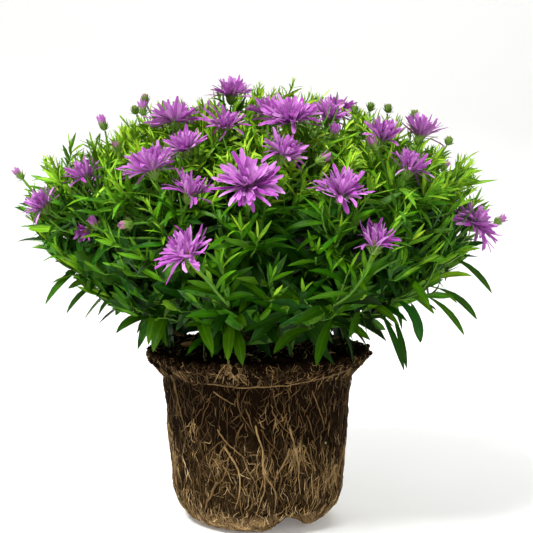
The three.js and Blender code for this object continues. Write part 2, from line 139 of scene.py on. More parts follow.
# Nets of roots over the ball: number of strands, band of heights, thickness, length, the way they head
# (0 down, 90 sideways) with its spread in degrees, and tone. Together they clothe the whole wall, its
# lower half, the collar, the foot, the foot's edge and the underside.
FINE_NETS = [
    dict(count=2500, heights=(5, 82), thick=(0.28, 0.42), length=(4, 8), lean=(0, 28), tone=(0.04, 0.6),
         wander=0.5),
    dict(count=2000, heights=(3, 50), thick=(0.3, 0.45), length=(5, 10), lean=(0, 18), tone=(0.25, 0.95),
         wander=0.5, crowding=2.2),
    dict(count=1500, heights=(82, 94), thick=(0.3, 0.45), length=(4, 9), lean=(0, 26), tone=(0.1, 0.7),
         wander=0.7),
    # The foot's nets carry the lightest tones, partly painted light from the floor below
    dict(count=1200, heights=(0.5, 13), thick=(0.32, 0.5), length=(4, 8), lean=(0, 30), tone=(0.6, 0.95),
         wander=0.4, crowding=1.4),
    dict(count=200, heights=(0.5, 3), thick=(0.35, 0.6), length=(10, 20), lean=(86, 14), tone=(0.6, 1.0),
         wander=0.2, points=5),
    dict(count=150, heights=(0, 0.2), thick=(0.4, 0.7), length=(12, 24), lean=(80, 40), tone=(0.3, 0.8),
         wander=0.3, points=5),
]
COARSE_NET = dict(count=300, heights=(8, 84), thick=(0.35, 0.55), length=(14, 30), lean=(0, 18),
                  tone=(0.1, 0.45), wander=0.35, points=8)

# Big leaves that hang over the rim in front: base, tip, width and tone
RIM_LEAVES = [
    ((-57, -30, 118), (-74, -34, 108), 5.0, 0.4),
    ((-50, -46, 127), (-55, -56, 106), 5.0, 0.5),
    ((-45, -50, 122), (-52, -62, 103), 6.0, 0.45),
    ((-92, -24, 143), (-112, -28, 123), 4.5, 0.4),
    ((-85, -24, 134), (-101, -28, 118), 3.5, 0.35),
    ((-100, -30, 152), (-126, -32, 156), 2.0, 0.2),
    ((92, -26, 126), (109, -32, 107), 3.5, 0.45),
    ((97, -28, 131), (116, -30, 115), 4.0, 0.35),
    ((105, -24, 147), (124, -28, 129), 3.5, 0.35),
    ((-32, -60, 122), (-22, -76, 104), 6.0, 0.55),
    ((-24, -56, 108), (-34, -74, 103), 3.5, 0.35),
    ((-18, -60, 113), (-22, -76, 102), 4.5, 0.4),
    ((-13, -62, 122), (-14, -78, 101), 6.0, 0.5),
    ((-11, -64, 115), (-7, -80, 99), 6.0, 0.45),
    ((2, -58, 116), (11, -70, 106), 4.5, 0.2),
    ((26, -62, 114), (9, -78, 104), 5.5, 0.4),
    ((-14, -70, 123), (-5, -82, 118), 4.5, 0.5),
    ((2, -70, 132), (-8, -84, 125), 4.5, 0.55),
    ((38, -60, 119), (30, -76, 98), 5.5, 0.42),
    ((40, -46, 114), (57, -60, 108), 4.5, 0.38),
    ((73, -24, 116), (79, -32, 90), 3.5, 0.3),
    ((83, -24, 122), (87, -28, 103), 5.5, 0.35),
    ((88, -50, 136), (109, -56, 140), 3.0, 0.75),
    ((54, -40, 125), (72, -56, 115), 4.0, 0.5),
    ((74, -30, 132), (92, -40, 119), 4.0, 0.55),
    ((75, -50, 140), (87, -60, 125), 4.0, 0.65),
    ((9, -80, 142), (20, -94, 130), 4.5, 0.65),
    ((38, -84, 145), (52, -96, 137), 4.5, 0.6),
    ((-56, -40, 117), (-71, -50, 111), 3.5, 0.4),
]

# Shoots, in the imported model's order: place of the tip, azimuth and lean that it faces, and what it
# ends in: a head's width, how far it has opened and how ragged it is (0 to 1), a bud or leaves.
SHOOTS = [
    dict(at=(-49, -98, 195), faces=(170, 18), across=30, open=0.66, bud=(-57, -102, 169), bud_open=0.25),
    dict(at=(-3, -124, 188), faces=(-86, 34), across=32, open=0.84),
    dict(at=(-31, -124, 157), faces=(-135, 42), across=31, open=0.74, ragged=0.6),
    dict(at=(39, -114, 184), faces=(-80, 22), across=29, open=0.68, ragged=0.35),
    dict(at=(55, -112, 161), faces=(-50, 22), across=25, open=0.5, ragged=0.7),
    dict(at=(75, -72, 195), faces=(-10, 18), across=25, open=0.5, bud=(58, -84, 203), ragged=0.4),
    dict(at=(17, -86, 219), faces=(-90, 26), across=29, open=0.8),
    dict(at=(13, -105, 202), faces=(-10, 25), across=26, open=0.7, bud=(28, -94, 197), ragged=0.2),
    dict(at=(-14, -15, 235), faces=(-60, 6), across=25, open=0.6),
    dict(at=(-41, -60, 219), faces=(100, 14), across=27, open=0.75),
    dict(at=(-30, -108, 184), faces=(-40, 25), across=25, open=0.55, swing=7, ragged=0.8),
    dict(at=(-89, -42, 191), faces=(170, 25), across=26, open=0.5, bud=(-84, -62, 165), bud_open=0.95,
         ragged=0.6),
    dict(at=(86, -30, 213), faces=(20, 18), across=26, open=0.55),
    dict(at=(117, -25, 166), faces=(-15, 50), across=29, open=0.9),
    dict(at=(-131, -5, 192), faces=(165, 40), ends="bud"),
    dict(at=(136, 8, 166), faces=(5, 60), ends="bud"),
    dict(at=(-97, -28, 139), faces=(-166, 70), ends="leaves"),
    dict(at=(93, -54, 132), faces=(-28, 70), ends="leaves"),
    dict(at=(6, 104, 126), faces=(88, 75), ends="leaves"),
    dict(at=(-95, 66, 184), faces=(150, 30), across=29, open=0.9),
    dict(at=(-40, 108, 190), faces=(105, 38), across=30, open=0.95),
    dict(at=(36, 116, 178), faces=(75, 42), across=29, open=0.9),
    dict(at=(88, 78, 188), faces=(45, 32), across=28, open=0.75),
    dict(at=(-30, 50, 225), faces=(110, 15), across=27, open=0.8),
    dict(at=(46, 34, 228), faces=(30, 12), across=28, open=0.85),
]
# Smaller heads and buds that stand on side shoots
SIDE_HEADS = [
    dict(at=(-112, -36, 176), faces=(-165, 40), across=22, open=0.5),
    dict(at=(7, -62, 222), faces=(60, 25), across=24, open=0.7),
    dict(at=(-15, -72, 216), faces=(-80, 20), across=25, open=0.6, ragged=0.7),
    dict(at=(-34, -88, 205), faces=(-120, 25), across=22, open=0.5),
    dict(at=(63, -62, 211), faces=(-60, 30), across=22, open=0.45),
    dict(at=(37, -40, 222), faces=(-70, 20), across=22, open=0.55),
]
SIDE_BUDS = [
    dict(at=(-79, -78, 168), faces=(-140, 35), open=0.6),
    dict(at=(38, -78, 212), faces=(-60, 20), open=0.8),
    dict(at=(-69, -70, 206), faces=(-150, 30), open=0.2),
    dict(at=(-80, -38, 218), faces=(160, 20), open=0.7),
    dict(at=(-60, -30, 226), faces=(120, 15), open=0.8),
    dict(at=(108, 30, 196), faces=(30, 35), open=0.6),
    dict(at=(-60, 96, 204), faces=(120, 30), open=0.7),
    dict(at=(60, 88, 206), faces=(60, 30), open=0.5),
    dict(at=(0, 70, 228), faces=(90, 20), open=0.7),
    dict(at=(52, -22, 227), faces=(-60, 10), open=0.0),
    dict(at=(61, -16, 229), faces=(20, 12), open=0.0),
    dict(at=(70, -20, 228), faces=(-20, 10), open=0.0),
    dict(at=(85, -14, 225), faces=(10, 15), open=0.0),
    dict(at=(105, -6, 211), faces=(10, 25), open=0.0),
    dict(at=(-60, -18, 233), faces=(170, 8), open=0.1),
    dict(at=(-65, -24, 227), faces=(200, 15), open=0.0),
    dict(at=(-24, 84, 226), faces=(110, 20), open=0.0),
    dict(at=(72, 62, 216), faces=(40, 20), open=0.0),
]

# Blade outlines: share of the length and half width there
LONG_LEAF = [(0, 0.34), (0.17, 0.72), (0.38, 0.98), (0.6, 0.97), (0.83, 0.58), (1, 0.05)]
BROAD_LEAF = [(0, 0.22), (0.12, 0.45), (0.32, 0.8), (0.52, 1.0), (0.7, 0.92), (0.85, 0.62), (0.95, 0.28),
              (1, 0.05)]
SMALL_LEAF = [(0, 0.4), (0.3, 0.94), (0.66, 0.88), (1, 0.06)]
SHORT_LEAF = [(0, 0.4), (0.25, 0.86), (0.52, 1.0), (0.8, 0.62), (1, 0.06)]
FLORET = [(0, 0.5), (0.36, 0.88), (0.72, 1.0), (0.93, 0.72), (1, 0.3)]
DISC_TUBE = [(0, 0.6), (0.4, 0.7), (0.8, 1.0), (1, 0.7)]
BRACT = [(0, 0.7), (0.45, 1.0), (1, 0.1)]
# Rows of florets from the outside in: number, share of the full length, extra lift in degrees, width
FLORET_ROWS = [(26, 1.0, 0, 2.3), (25, 0.94, 9, 2.2), (23, 0.84, 20, 2.1), (19, 0.72, 35, 2.0),
               (14, 0.6, 52, 1.8)]
# Rows of bracts from the outside in: lift in degrees, share of the cup's height and of its radius
BRACT_ROWS = [(44, 0.04, 0.36), (58, 0.18, 0.5), (70, 0.36, 0.56)]

# The dome of leaves, seen from the middle of the compost: how far it reaches by the angle above level
DOME_FOOT = np.array([0.0, 0.0, 100.0])
DOME = ([0, 12, 15, 18, 21, 24, 28, 34, 45, 60, 90], [70, 76, 88, 102, 117, 132, 145, 155, 153, 148, 143])
# Lowest place of the leaves outside the ball, by radius
UNDERSIDE = ([0, 45, 60, 70, 80, 95, 108, 120, 135, 150], [100, 102, 107, 113, 119, 129, 139, 151, 166, 183])
# Length of the leaves and length over width, by how high on the dome their shoot ends, in degrees
LEAF_LENGTH = ([12, 17, 24, 36, 55, 90], [30, 28, 22, 17, 13, 11])
LEAF_SLENDER = ([12, 17, 24, 36, 55, 90], [4.2, 4.8, 6.0, 6.6, 6.0, 5.4])
# Above this angle the tips stand in full light
HIGH = 36


# Small vector helpers, for rows of vectors
def unit(v):
    return v / np.maximum(np.linalg.norm(v, axis=-1, keepdims=True), 1e-9)


def polar(radius, azimuth, z):
    a = np.radians(azimuth)
    return np.stack(np.broadcast_arrays(radius * np.cos(a), radius * np.sin(a), z), axis=-1).astype(float)


def leaning(azimuth, lean):
    """The way that leans from straight up towards an azimuth, by degrees."""
    lean = np.radians(lean)
    return polar(np.sin(lean), azimuth, np.cos(lean))


def square_to(v, axis):
    """The part of v that is square to axis, as a unit vector."""
    return unit(v - np.sum(v * axis, axis=-1, keepdims=True) * axis)


def turned(v, axis, angle):
    """v turned about axis by an angle in radians."""
    c, s = np.cos(angle)[..., None], np.sin(angle)[..., None]
    return v * c + np.cross(axis, v) * s + axis * np.sum(v * axis, axis=-1, keepdims=True) * (1 - c)


def bezier(*handles, count=12):
    """Points along a Bezier curve of any order."""
    t = np.linspace(0, 1, count)[:, None]
    rows = [np.tile(np.asarray(h, float), (count, 1)) for h in handles]
    while len(rows) > 1:
        rows = [a + (b - a) * t for a, b in zip(rows, rows[1:])]
    return rows[0]


def tangents(points):
    return unit(np.gradient(points, axis=0))


def lumps(points, size):
    """Smooth noise from -1 to 1 with lumps of that size, in millimetres."""
    flat = np.reshape(points, (-1, 3)) / size
    return np.array([noise.noise(Vector(p)) for p in flat]).reshape(np.shape(points)[:-1])


# Node trees
def linear(hex_colour):
    """An sRGB hex colour as linear RGBA."""
    parts = [int(hex_colour[k : k + 2], 16) / 255 for k in (1, 3, 5)]
    return (*[p / 12.92 if p <= 0.04045 else ((p + 0.055) / 1.055) ** 2.4 for p in parts], 1.0)


def add_node(tree, kind, into=(), stops=(), **settings):
    """Adds a node, with its properties as settings. into holds its inputs in order, or by name or number:
    a node stands for its first output, and a hex colour turns linear. stops fill a colour ramp."""
    node = tree.nodes.new(kind)
    for name, value in settings.items():
        setattr(node, name, value)
    for key, value in into.items() if isinstance(into, dict) else enumerate(into):
        if isinstance(value, bpy.types.Node):
            value = next(o for o in value.outputs if o.enabled)
        if isinstance(value, bpy.types.NodeSocket):
            tree.links.new(value, node.inputs[key])
        else:
            node.inputs[key].default_value = linear(value) if str(value).startswith("#") else value
    for position, _ in stops[1:-1]:
        node.color_ramp.elements.new(position)
    for element, (position, colour) in zip(node.color_ramp.elements if stops else (), stops):
        element.position, element.color = position, linear(colour)
    return node


def new_tree(name, sizes):
    """A geometry tree with a geometry, the named sizes and a material as its inputs, the function that
    adds its nodes, and what it is given."""
    tree = bpy.data.node_groups.new(name, "GeometryNodeTree")
    tree.interface.new_socket("Geometry", in_out="INPUT", socket_type="NodeSocketGeometry")
    for label, value in sizes.items():
        kind = "NodeSocketInt" if isinstance(value, int) else "NodeSocketFloat"
        tree.interface.new_socket(label, in_out="INPUT", socket_type=kind).default_value = value
    tree.interface.new_socket("Material", in_out="INPUT", socket_type="NodeSocketMaterial")
    tree.interface.new_socket("Geometry", in_out="OUTPUT", socket_type="NodeSocketGeometry")
    return tree, partial(add_node, tree), tree.nodes.new("NodeGroupInput").outputs


def finish_tree(add, given, shape):
    """Ends a tree with its shape made real and painted."""
    real = add("GeometryNodeRealizeInstances", (shape,))
    painted = add("GeometryNodeSetMaterial", {"Geometry": real, "Material": given["Material"]})
    add("NodeGroupOutput", (painted,))


ON_POINTS = dict(data_type="FLOAT", domain="POINT")


def finish_swept_tree(add, given, line, section, crease):
    """Ends a tree with its section swept along lines, as wide as half_width says, closed at both ends and
    sharp where faces meet at more than the crease, in radians."""
    along = add("GeometryNodeSplineParameter")
    line = add("GeometryNodeStoreNamedAttribute", {"Geometry": line, "Name": "along", "Value": along},
               **ON_POINTS)
    width = add("GeometryNodeInputNamedAttribute", ("half_width",), data_type="FLOAT")
    shape = add("GeometryNodeCurveToMesh",
                {"Curve": line, "Profile Curve": section, "Scale": width, "Fill Caps": True})
    angle = add("GeometryNodeInputMeshEdgeAngle")
    sharp = add("FunctionNodeCompare", (angle, crease), operation="GREATER_THAN")
    shape = add("GeometryNodeSetShadeSmooth", {"Geometry": shape, "Selection": sharp, "Shade Smooth": False},
                domain="EDGE")
    finish_tree(add, given, shape)


def blade_tree():
    """Thin blades along their ribs: a shallow channel above, a keel below, closed at both ends."""
    tree, add, given = new_tree("blades along ribs", {"Channel": 0.25, "Keel": 0.1})
    rib = add("GeometryNodeMeshToCurve", (given["Geometry"],))
    way = add("GeometryNodeInputNamedAttribute", ("side_way",), data_type="FLOAT_VECTOR")
    rib = add("GeometryNodeSetCurveNormal", {"Curve": rib, "Normal": way}, mode="FREE")
    keel = add("ShaderNodeMath", (given["Keel"], -1.0), operation="MULTIPLY")
    left, right, below = (add("ShaderNodeCombineXYZ", (x, y))
                          for x, y in ((-1.0, given["Channel"]), (1.0, given["Channel"]), (0.0, keel)))
    section = add("GeometryNodeCurvePrimitiveQuadrilateral", mode="POINTS",
                  into={"Point 1": left, "Point 2": (0.0, 0.0, 0.0), "Point 3": right, "Point 4": below})
    place = add("ShaderNodeSeparateXYZ", (add("GeometryNodeInputPosition"),))
    under = add("ShaderNodeMath", (place.outputs["Y"], -0.001), operation="LESS_THAN")
    for mark, value in (("across", place.outputs["X"]), ("under", under)):
        section = add("GeometryNodeStoreNamedAttribute", {"Geometry": section, "Name": mark, "Value": value},
                      **ON_POINTS)
    finish_swept_tree(add, given, rib, section, 1.2)
    return tree


def strand_tree():
    """Round strands along lines: stems, stalks, roots and the bodies of buds."""
    tree, add, given = new_tree("strands along lines", {"Sides": 6})
    line = add("GeometryNodeMeshToCurve", (given["Geometry"],))
    section = add("GeometryNodeCurvePrimitiveCircle", {"Resolution": given["Sides"], "Radius": 1.0})
    finish_swept_tree(add, given, line, section, 1.3)
    return tree


def crumb_tree():
    """Crumbs scattered over the part of a surface that its attribute 'crumbly' marks."""
    sizes = {"Per Square Metre": 60000.0, "Smallest": 0.6 * MM, "Largest": 2.0 * MM, "Seed": 1}
    tree, add, given = new_tree("crumbs on a surface", sizes)
    marked = add("GeometryNodeInputNamedAttribute", ("crumbly",), data_type="FLOAT")
    density = add("ShaderNodeMath", (marked, given["Per Square Metre"]), operation="MULTIPLY")
    spots = add("GeometryNodeDistributePointsOnFaces", distribute_method="RANDOM",
                into={"Mesh": given["Geometry"], "Density": density, "Seed": given["Seed"]})
    crumb = add("GeometryNodeMeshIcoSphere", {"Radius": 1.0, "Subdivisions": 1})
    shape = add("FunctionNodeRandomValue", {0: (0.6, 0.6, 0.45), 1: (1.3, 1.3, 1.0), "Seed": 7},
                data_type="FLOAT_VECTOR")
    turn = add("FunctionNodeRandomValue", {0: (0.0, 0.0, 0.0), 1: (6.28, 6.28, 6.28), "Seed": 11},
               data_type="FLOAT_VECTOR")
    skew = add("FunctionNodeRandomValue", {2: 0.0, 3: 1.0, "Seed": 3}, data_type="FLOAT")
    skew = add("ShaderNodeMath", (skew, 3.0), operation="POWER")
    size = add("ShaderNodeMapRange", (skew, 0.0, 1.0, given["Smallest"], given["Largest"]))
    scale = add("ShaderNodeVectorMath", (shape, size), operation="MULTIPLY")
    turn = add("FunctionNodeEulerToRotation", (turn,))
    crumbs = add("GeometryNodeInstanceOnPoints",
                 {"Points": spots, "Instance": crumb, "Rotation": turn, "Scale": scale})
    finish_tree(add, given, crumbs)
    return tree


class Lines:
    """Lines in space with the marks that a tree or a material needs along them, in millimetres."""

    def __init__(self):
        self.batches = []

    def add(self, points, half_width, side=UP, **marks):
        """Adds N lines of K points, or one line. A mark has a value for each point, each line or all."""
        points = np.asarray(points, float)
        points = points[None] if points.ndim == 2 else points
        batch = dict(points=points, side_way=np.broadcast_to(side, points.shape))
        for mark, value in dict(marks, half_width=half_width).items():
            value = np.asarray(value, float)
            one_a_line = value.ndim == 1 and len(value) == len(points)
            batch[mark] = np.broadcast_to(value[:, None] if one_a_line else value, points.shape[:2])
        self.batches.append(batch)

    def column(self, mark):
        rows = [b.get(mark, np.zeros(b["half_width"].shape)).ravel() for b in self.batches]
        return (np.concatenate(rows) * (MM if mark in ("points", "half_width") else 1)).astype(np.float32)

    def mesh(self, name):
        edges, offset = [], 0
        for batch in self.batches:
            shape = batch["half_width"].shape
            starts = offset + np.arange(math.prod(shape)).reshape(shape)
            edges.append(np.stack([starts[:, :-1], starts[:, 1:]], axis=-1).reshape(-1, 2))
            offset += starts.size
        edges = np.concatenate(edges)
        mesh = bpy.data.meshes.new(name)
        mesh.vertices.add(offset)
        mesh.edges.add(len(edges))
        mesh.edges.foreach_set("vertices", edges.astype(np.int32).ravel())
        mesh.vertices.foreach_set("co", self.column("points"))
        for mark in sorted({m for b in self.batches for m in b} - {"points"}):
            kind, part = ("FLOAT_VECTOR", "vector") if mark == "side_way" else ("FLOAT", "value")
            mesh.attributes.new(mark, kind, "POINT").data.foreach_set(part, self.column(mark))
        mesh.update()
        return mesh


def grow(name, mesh, tree, material, sizes):
    """Runs a tree on a mesh and keeps the result as a plain mesh object."""
    obj = bpy.data.objects.new(name, mesh)
    bpy.context.scene.collection.objects.link(obj)
    step = obj.modifiers.new("grow", "NODES")
    step.node_group = tree
    given = dict(sizes, Material=material)
    for item in tree.interface.items_tree:
        if item.in_out == "INPUT" and item.name in given:
            step[item.identifier] = given[item.name]
    bpy.context.view_layer.update()
    grown = bpy.data.meshes.new_from_object(obj.evaluated_get(bpy.context.evaluated_depsgraph_get()))
    obj.modifiers.remove(step)
    obj.data = grown
    grown.name = name
    return obj


def make_blades(start, run, face, length, half_width, outline, pull, bend=0.0, curl=0.0, twist=0.0):
    """Ribs of N blades, with the half width and the way to the right-hand edge at each of their points.
    Each starts at a point and runs along run with its upper side towards face. It bends by bend towards
    pull, curls away from its upper side by curl and twists, all in radians."""
    shares, widths = np.array(outline).T
    length, bend, curl, twist, half_width = (np.broadcast_to(np.asarray(v, float), (len(start),))
                                             for v in (length, bend, curl, twist, half_width))
    pull = np.broadcast_to(pull, start.shape)
    at, run, face = start.copy(), unit(run), square_to(face, unit(run))
    points, sides = [at], [np.cross(face, run)]
    for part in np.diff(shares):
        turn = run + (pull * bend[:, None] - face * curl[:, None]) * part
        at = at + unit(run + turn) * (length * part)[:, None]
        run = unit(turn)
        face = turned(square_to(face, run), run, twist * part)
        points.append(at)
        sides.append(np.cross(face, run))
    return np.stack(points, 1), half_width[:, None] * widths, np.stack(sides, 1)


# Materials
def new_material(name, *reads):
    """An empty material, the function that adds its nodes, and what it reads: its place on the plant, or
    marks that the pieces carry."""
    material = bpy.data.materials.new(name)
    material.use_nodes = True
    material.node_tree.nodes.clear()
    add = partial(add_node, material.node_tree)
    sockets = [add("ShaderNodeTexCoord").outputs["Object"] if mark == "place"
               else add("ShaderNodeAttribute", attribute_name=mark).outputs["Fac"] for mark in reads]
    return material, add, *sockets


def finish_material(add, colour, roughness, ior=1.45, gloss=0.5, relief=None, through=None, **more):
    """Ends a material in a Principled surface. relief is a bump's strength, depth in mm and height, and
    through the share and colour of the light that a thin blade lets through."""
    if relief:
        strength, depth, height = relief
        bump = {"Strength": strength, "Distance": depth * MM, "Height": height}
        more["Normal"] = add("ShaderNodeBump", bump)
    shader = add("ShaderNodeBsdfPrincipled", {"Base Color": colour, "Roughness": roughness, "IOR": ior,
                                              "Specular IOR Level": gloss, **more})
    if through:
        share, colour = through
        shader = add("ShaderNodeMixShader", (share, shader, add("ShaderNodeBsdfTranslucent", (colour,))))
    add("ShaderNodeOutputMaterial", {"Surface": shader})


def per_metre(grain):
    """Scale of a pattern whose grains are that many millimetres wide, to the nearest ten."""
    return round(1000 / grain, -1)


def mottled(add, place, grain, detail, dark, light):
    """A dark and a light colour in patches of that grain, in millimetres, and the patches themselves."""
    patches = add("ShaderNodeTexNoise", {"Vector": place, "Scale": per_metre(grain), "Detail": detail})
    return add("ShaderNodeMix", {0: patches, 6: dark, 7: light}, data_type="RGBA"), patches


def shaded(add, colour, mark, start, end, first, last):
    """The colour multiplied by a light that goes from first to last as the mark goes from start to end."""
    light = add("ShaderNodeMapRange", (mark, start, end, first, last))
    return add("ShaderNodeVectorMath", (colour, light), operation="MULTIPLY")


def tinted(add, colour, mark, start, end, share, tint):
    """The colour with a share of a tint that grows from nought as the mark goes from start to end."""
    share = add("ShaderNodeMapRange", (mark, start, end, 0.0, share))
    return add("ShaderNodeMix", {0: share, 6: colour, 7: tint}, data_type="RGBA")


def leaf_material():
    """Leaf blade, fresh, with a thin wax: a soft gloss over mottled green, a pale midrib and a greyer
    underside."""
    material, add, place, tone, across, under, tint = new_material(
        "fresh waxy leaf", "place", "tone", "across", "under", "tint")
    green = add("ShaderNodeValToRGB", (tone,),
                [(0.0, "#071c01"), (0.3, "#1f4e03"), (0.62, "#508c08"), (1.0, "#9fcc34")])
    patches = add("ShaderNodeTexNoise", {"Vector": place, "Scale": per_metre(6.25), "Detail": 3.0})
    body = shaded(add, green, patches, 0.3, 0.7, 0.8, 1.18)
    from_rib = add("ShaderNodeMath", (across,), operation="ABSOLUTE")
    ribbed = shaded(add, body, from_rib, 0.04, 0.2, 1.5, 1.0)
    colour = tinted(add, ribbed, under, 0.01, 0.06, 0.3, "#5f8c30")
    hue = add("ShaderNodeMapRange", (tint, -2.0, 2.0, 0.475, 0.515))
    colour = add("ShaderNodeHueSaturation", {"Hue": hue, "Color": colour})
    veins = add("ShaderNodeTexNoise", {"Vector": place, "Scale": per_metre(1.11), "Detail": 2.0})
    glow = add("ShaderNodeHueSaturation", {"Hue": 0.49, "Saturation": 1.15, "Value": 1.25, "Color": colour})
    finish_material(add, colour, 0.45, 1.42, 0.14, relief=(0.25, 0.3, veins), through=(0.22, glow))
    return material


def floret_material():
    """Ray floret, soft and satin: lilac with fine lengthwise streaks, darker at its base with painted shade,
    paler along its margins, partly with a painted highlight, and below. One in a young bud is a greenish
    pink."""
    material, add, tone, along, across, under, young = new_material(
        "satin ray floret", "tone", "along", "across", "under", "young")
    lilac = add("ShaderNodeMix", {0: tone, 6: "#ca56cf", 7: "#f2b6f4"}, data_type="RGBA")
    # Streaks of 0.125 by 6 mm on a floret of 2.2 by 13.2 mm, other ones on each by its tone
    per_length, per_half_width = 13.2 / 6, 1.1 / 0.125
    wide = add("ShaderNodeMath", (across, per_half_width / per_length), operation="MULTIPLY")
    own = add("ShaderNodeMath", (tone, 40.0), operation="MULTIPLY")
    streak_place = add("ShaderNodeCombineXYZ", (wide, own, along))
    streaks = add("ShaderNodeTexNoise", {"Vector": streak_place, "Scale": per_length, "Detail": 2.0})
    streaked = shaded(add, lilac, streaks, 0.3, 0.7, 0.62, 1.12)
    # Painted shade: each floret darkens towards its base, where the middle of the head lies in shade
    shaded_base = shaded(add, streaked, along, 0.0, 0.5, 0.6, 1.0)
    below = add("ShaderNodeMapRange", (under, 0.01, 0.08, 0.0, 0.2))
    # Pale margins: partly the paler underside seen where the edges roll, partly a painted highlight
    margin = add("ShaderNodeMath", (across,), operation="ABSOLUTE")
    margin = add("ShaderNodeMapRange", (margin, 0.75, 1.0, 0.0, 0.4))
    pale = add("ShaderNodeMath", (below, margin), operation="MAXIMUM")
    colour = add("ShaderNodeMix", {0: pale, 6: shaded_base, 7: "#f0ccf2"}, data_type="RGBA")
    colour = add("ShaderNodeMix", {0: young, 6: colour, 7: "#b58a86"}, data_type="RGBA")
    finish_material(add, colour, 0.5, 1.4, 0.14, through=(0.46, colour))
    return material


def stem_material():
    """Green stem, finely hairy: fresh green near the tips, brown and corky low down."""
    material, add, place, tone = new_material("hairy green stem", "place", "tone")
    young, streaks = mottled(add, place, 2.5, 3.0, "#2b5210", "#5a8a1e")
    old = add("ShaderNodeMix", {0: streaks, 6: "#3a2c1c", 7: "#6d5136"}, data_type="RGBA")
    colour = add("ShaderNodeMix", {0: tone, 6: old, 7: young}, data_type="RGBA")
    finish_material(add, colour, 0.6, 1.45, 0.25, relief=(0.4, 0.3, streaks))
    return material


def bract_material():
    """Involucre bract: narrow green scales with pale margins and a brownish pink point."""
    material, add, place, along, across = new_material("green bract", "place", "along", "across")
    green, _ = mottled(add, place, 2.0, 2.0, "#2f5a12", "#6f9a2c")
    tipped = tinted(add, green, along, 0.6, 1.0, 0.5, "#8a5a52")
    from_rib = add("ShaderNodeMath", (across,), operation="ABSOLUTE")
    colour = tinted(add, tipped, from_rib, 0.6, 1.0, 0.5, "#c4cf8c")
    finish_material(add, colour, 0.5, 1.42, 0.25)
    return material


def disc_material():
    """Disc florets: tiny tubes, greenish yellow at the base and pinkish at the mouth."""
    material, add, place, along = new_material("yellow disc floret", "place", "along")
    yellow, _ = mottled(add, place, 1.43, 2.0, "#a9a13c", "#e3cf6a")
    colour = tinted(add, yellow, along, 0.5, 1.0, 0.7, "#d99ab4")
    finish_material(add, colour, 0.6, 1.4)
    return material


def compost_material():
    """Peat compost, moist: near-black crumbs under a web of the finest roots, golden felt at the foot made
    lighter by painted light from the floor.
    """
    material, add, place = new_material("moist peat compost", "place")
    peat, crumbs = mottled(add, place, 2.22, 5.0, "#040201", "#1b1006")
    crumbs.inputs["Roughness"].default_value = 0.7
    stir = add("ShaderNodeTexNoise", {"Vector": place, "Scale": per_metre(3.85), "Detail": 2.0})
    reach = (4 * MM, 4 * MM, 4 * MM)
    stir = add("ShaderNodeVectorMath", (stir.outputs["Color"], reach), operation="MULTIPLY")
    stirred = add("ShaderNodeVectorMath", (place, stir), operation="ADD")
    webs = []
    for mesh_width, stretch, offset in ((3.2, 0.35, 0.0), (1.7, 0.5, 0.05)):
        cells = add("ShaderNodeMapping",
                    {"Vector": stirred, "Location": (offset, 0.0, 0.0), "Scale": (1.0, 1.0, stretch)})
        edge = add("ShaderNodeTexVoronoi", {"Vector": cells, "Scale": 1000 / mesh_width},
                   feature="DISTANCE_TO_EDGE")
        webs.append(add("ShaderNodeMapRange", (edge, 0.03, 0.11, 1.0, 0.0)))
    web = add("ShaderNodeMath", webs, operation="MAXIMUM")
    height = add("ShaderNodeSeparateXYZ", (place,)).outputs["Z"]
    rooted = add("ShaderNodeMapRange", (height, 5 * MM, 55 * MM, 0.45, -0.12))
    patches = add("ShaderNodeTexNoise", {"Vector": place, "Scale": per_metre(7.7), "Detail": 3.0})
    rooted = add("ShaderNodeMath", (patches, rooted), operation="ADD")
    rooted = add("ShaderNodeMapRange", (rooted, 0.4, 0.75, 0.0, 0.42))
    shown = add("ShaderNodeMath", (web, rooted), operation="MULTIPLY")
    # Golden felt at the foot, partly painted light: its colour is lightened to stand for the light from the
    # floor below
    foot = add("ShaderNodeMapRange", (height, 2 * MM, 12 * MM, 1.0, 0.0))
    felt = add("ShaderNodeMapRange", (crumbs, 0.3, 0.6, 0.5, 1.0))
    felt_and_floor_light = add("ShaderNodeMath", (foot, felt), operation="MULTIPLY")
    netted = add("ShaderNodeMix", {0: shown, 6: peat, 7: "#4d3a20"}, data_type="RGBA")
    colour = add("ShaderNodeMix", {0: felt_and_floor_light, 6: netted, 7: "#dcb680"}, data_type="RGBA")
    both = add("ShaderNodeMath", (crumbs, shown), operation="ADD")
    finish_material(add, colour, 0.95, 1.45, 0.03, relief=(0.8, 0.8, both))
    return material


def root_material():
    """Root skin: pale tan when fresh, browner where it's thin or stained by the compost."""
    material, add, place, tone = new_material("fibrous root skin", "place", "tone")
    # The lightest stop, which the roots at the foot carry most, is partly painted light from the floor below
    skin = add("ShaderNodeValToRGB", (tone,),
               [(0.0, "#140d07"), (0.4, "#5a4427"), (0.75, "#a88a5c"), (1.0, "#e8c998")])
    stain = add("ShaderNodeTexNoise", {"Vector": place, "Scale": per_metre(4.55), "Detail": 3.0})
    colour = shaded(add, skin, stain, 0.3, 0.7, 0.55, 1.2)
    finish_material(add, colour, 0.75, 1.45, 0.08, relief=(0.4, 0.3, stain))
    return material


def perlite_material():
    """Perlite: expanded volcanic glass, chalky white with a green bloom of algae."""
    material, add, place = new_material("perlite grain", "place")
    colour, pores = mottled(add, place, 1.25, 2.0, "#6f7f48", "#b9c58e")
    finish_material(add, colour, 0.8, 1.5, relief=(0.5, 0.4, pores))
    return material


def straw_material():
    """Dry stalks and moss on the compost: straw brown to dull green, matt."""
    material, add, place, tone = new_material("dry straw and moss", "place", "tone")
    straw = add("ShaderNodeValToRGB", (tone,), [(0.0, "#3f4a18"), (0.5, "#6e5730"), (1.0, "#c3a066")])
    stain = add("ShaderNodeTexNoise", {"Vector": place, "Scale": per_metre(3.33), "Detail": 2.0})
    colour = shaded(add, straw, stain, 0.0, 1.0, 0.6, 1.3)
    finish_material(add, colour, 0.8)
    return material


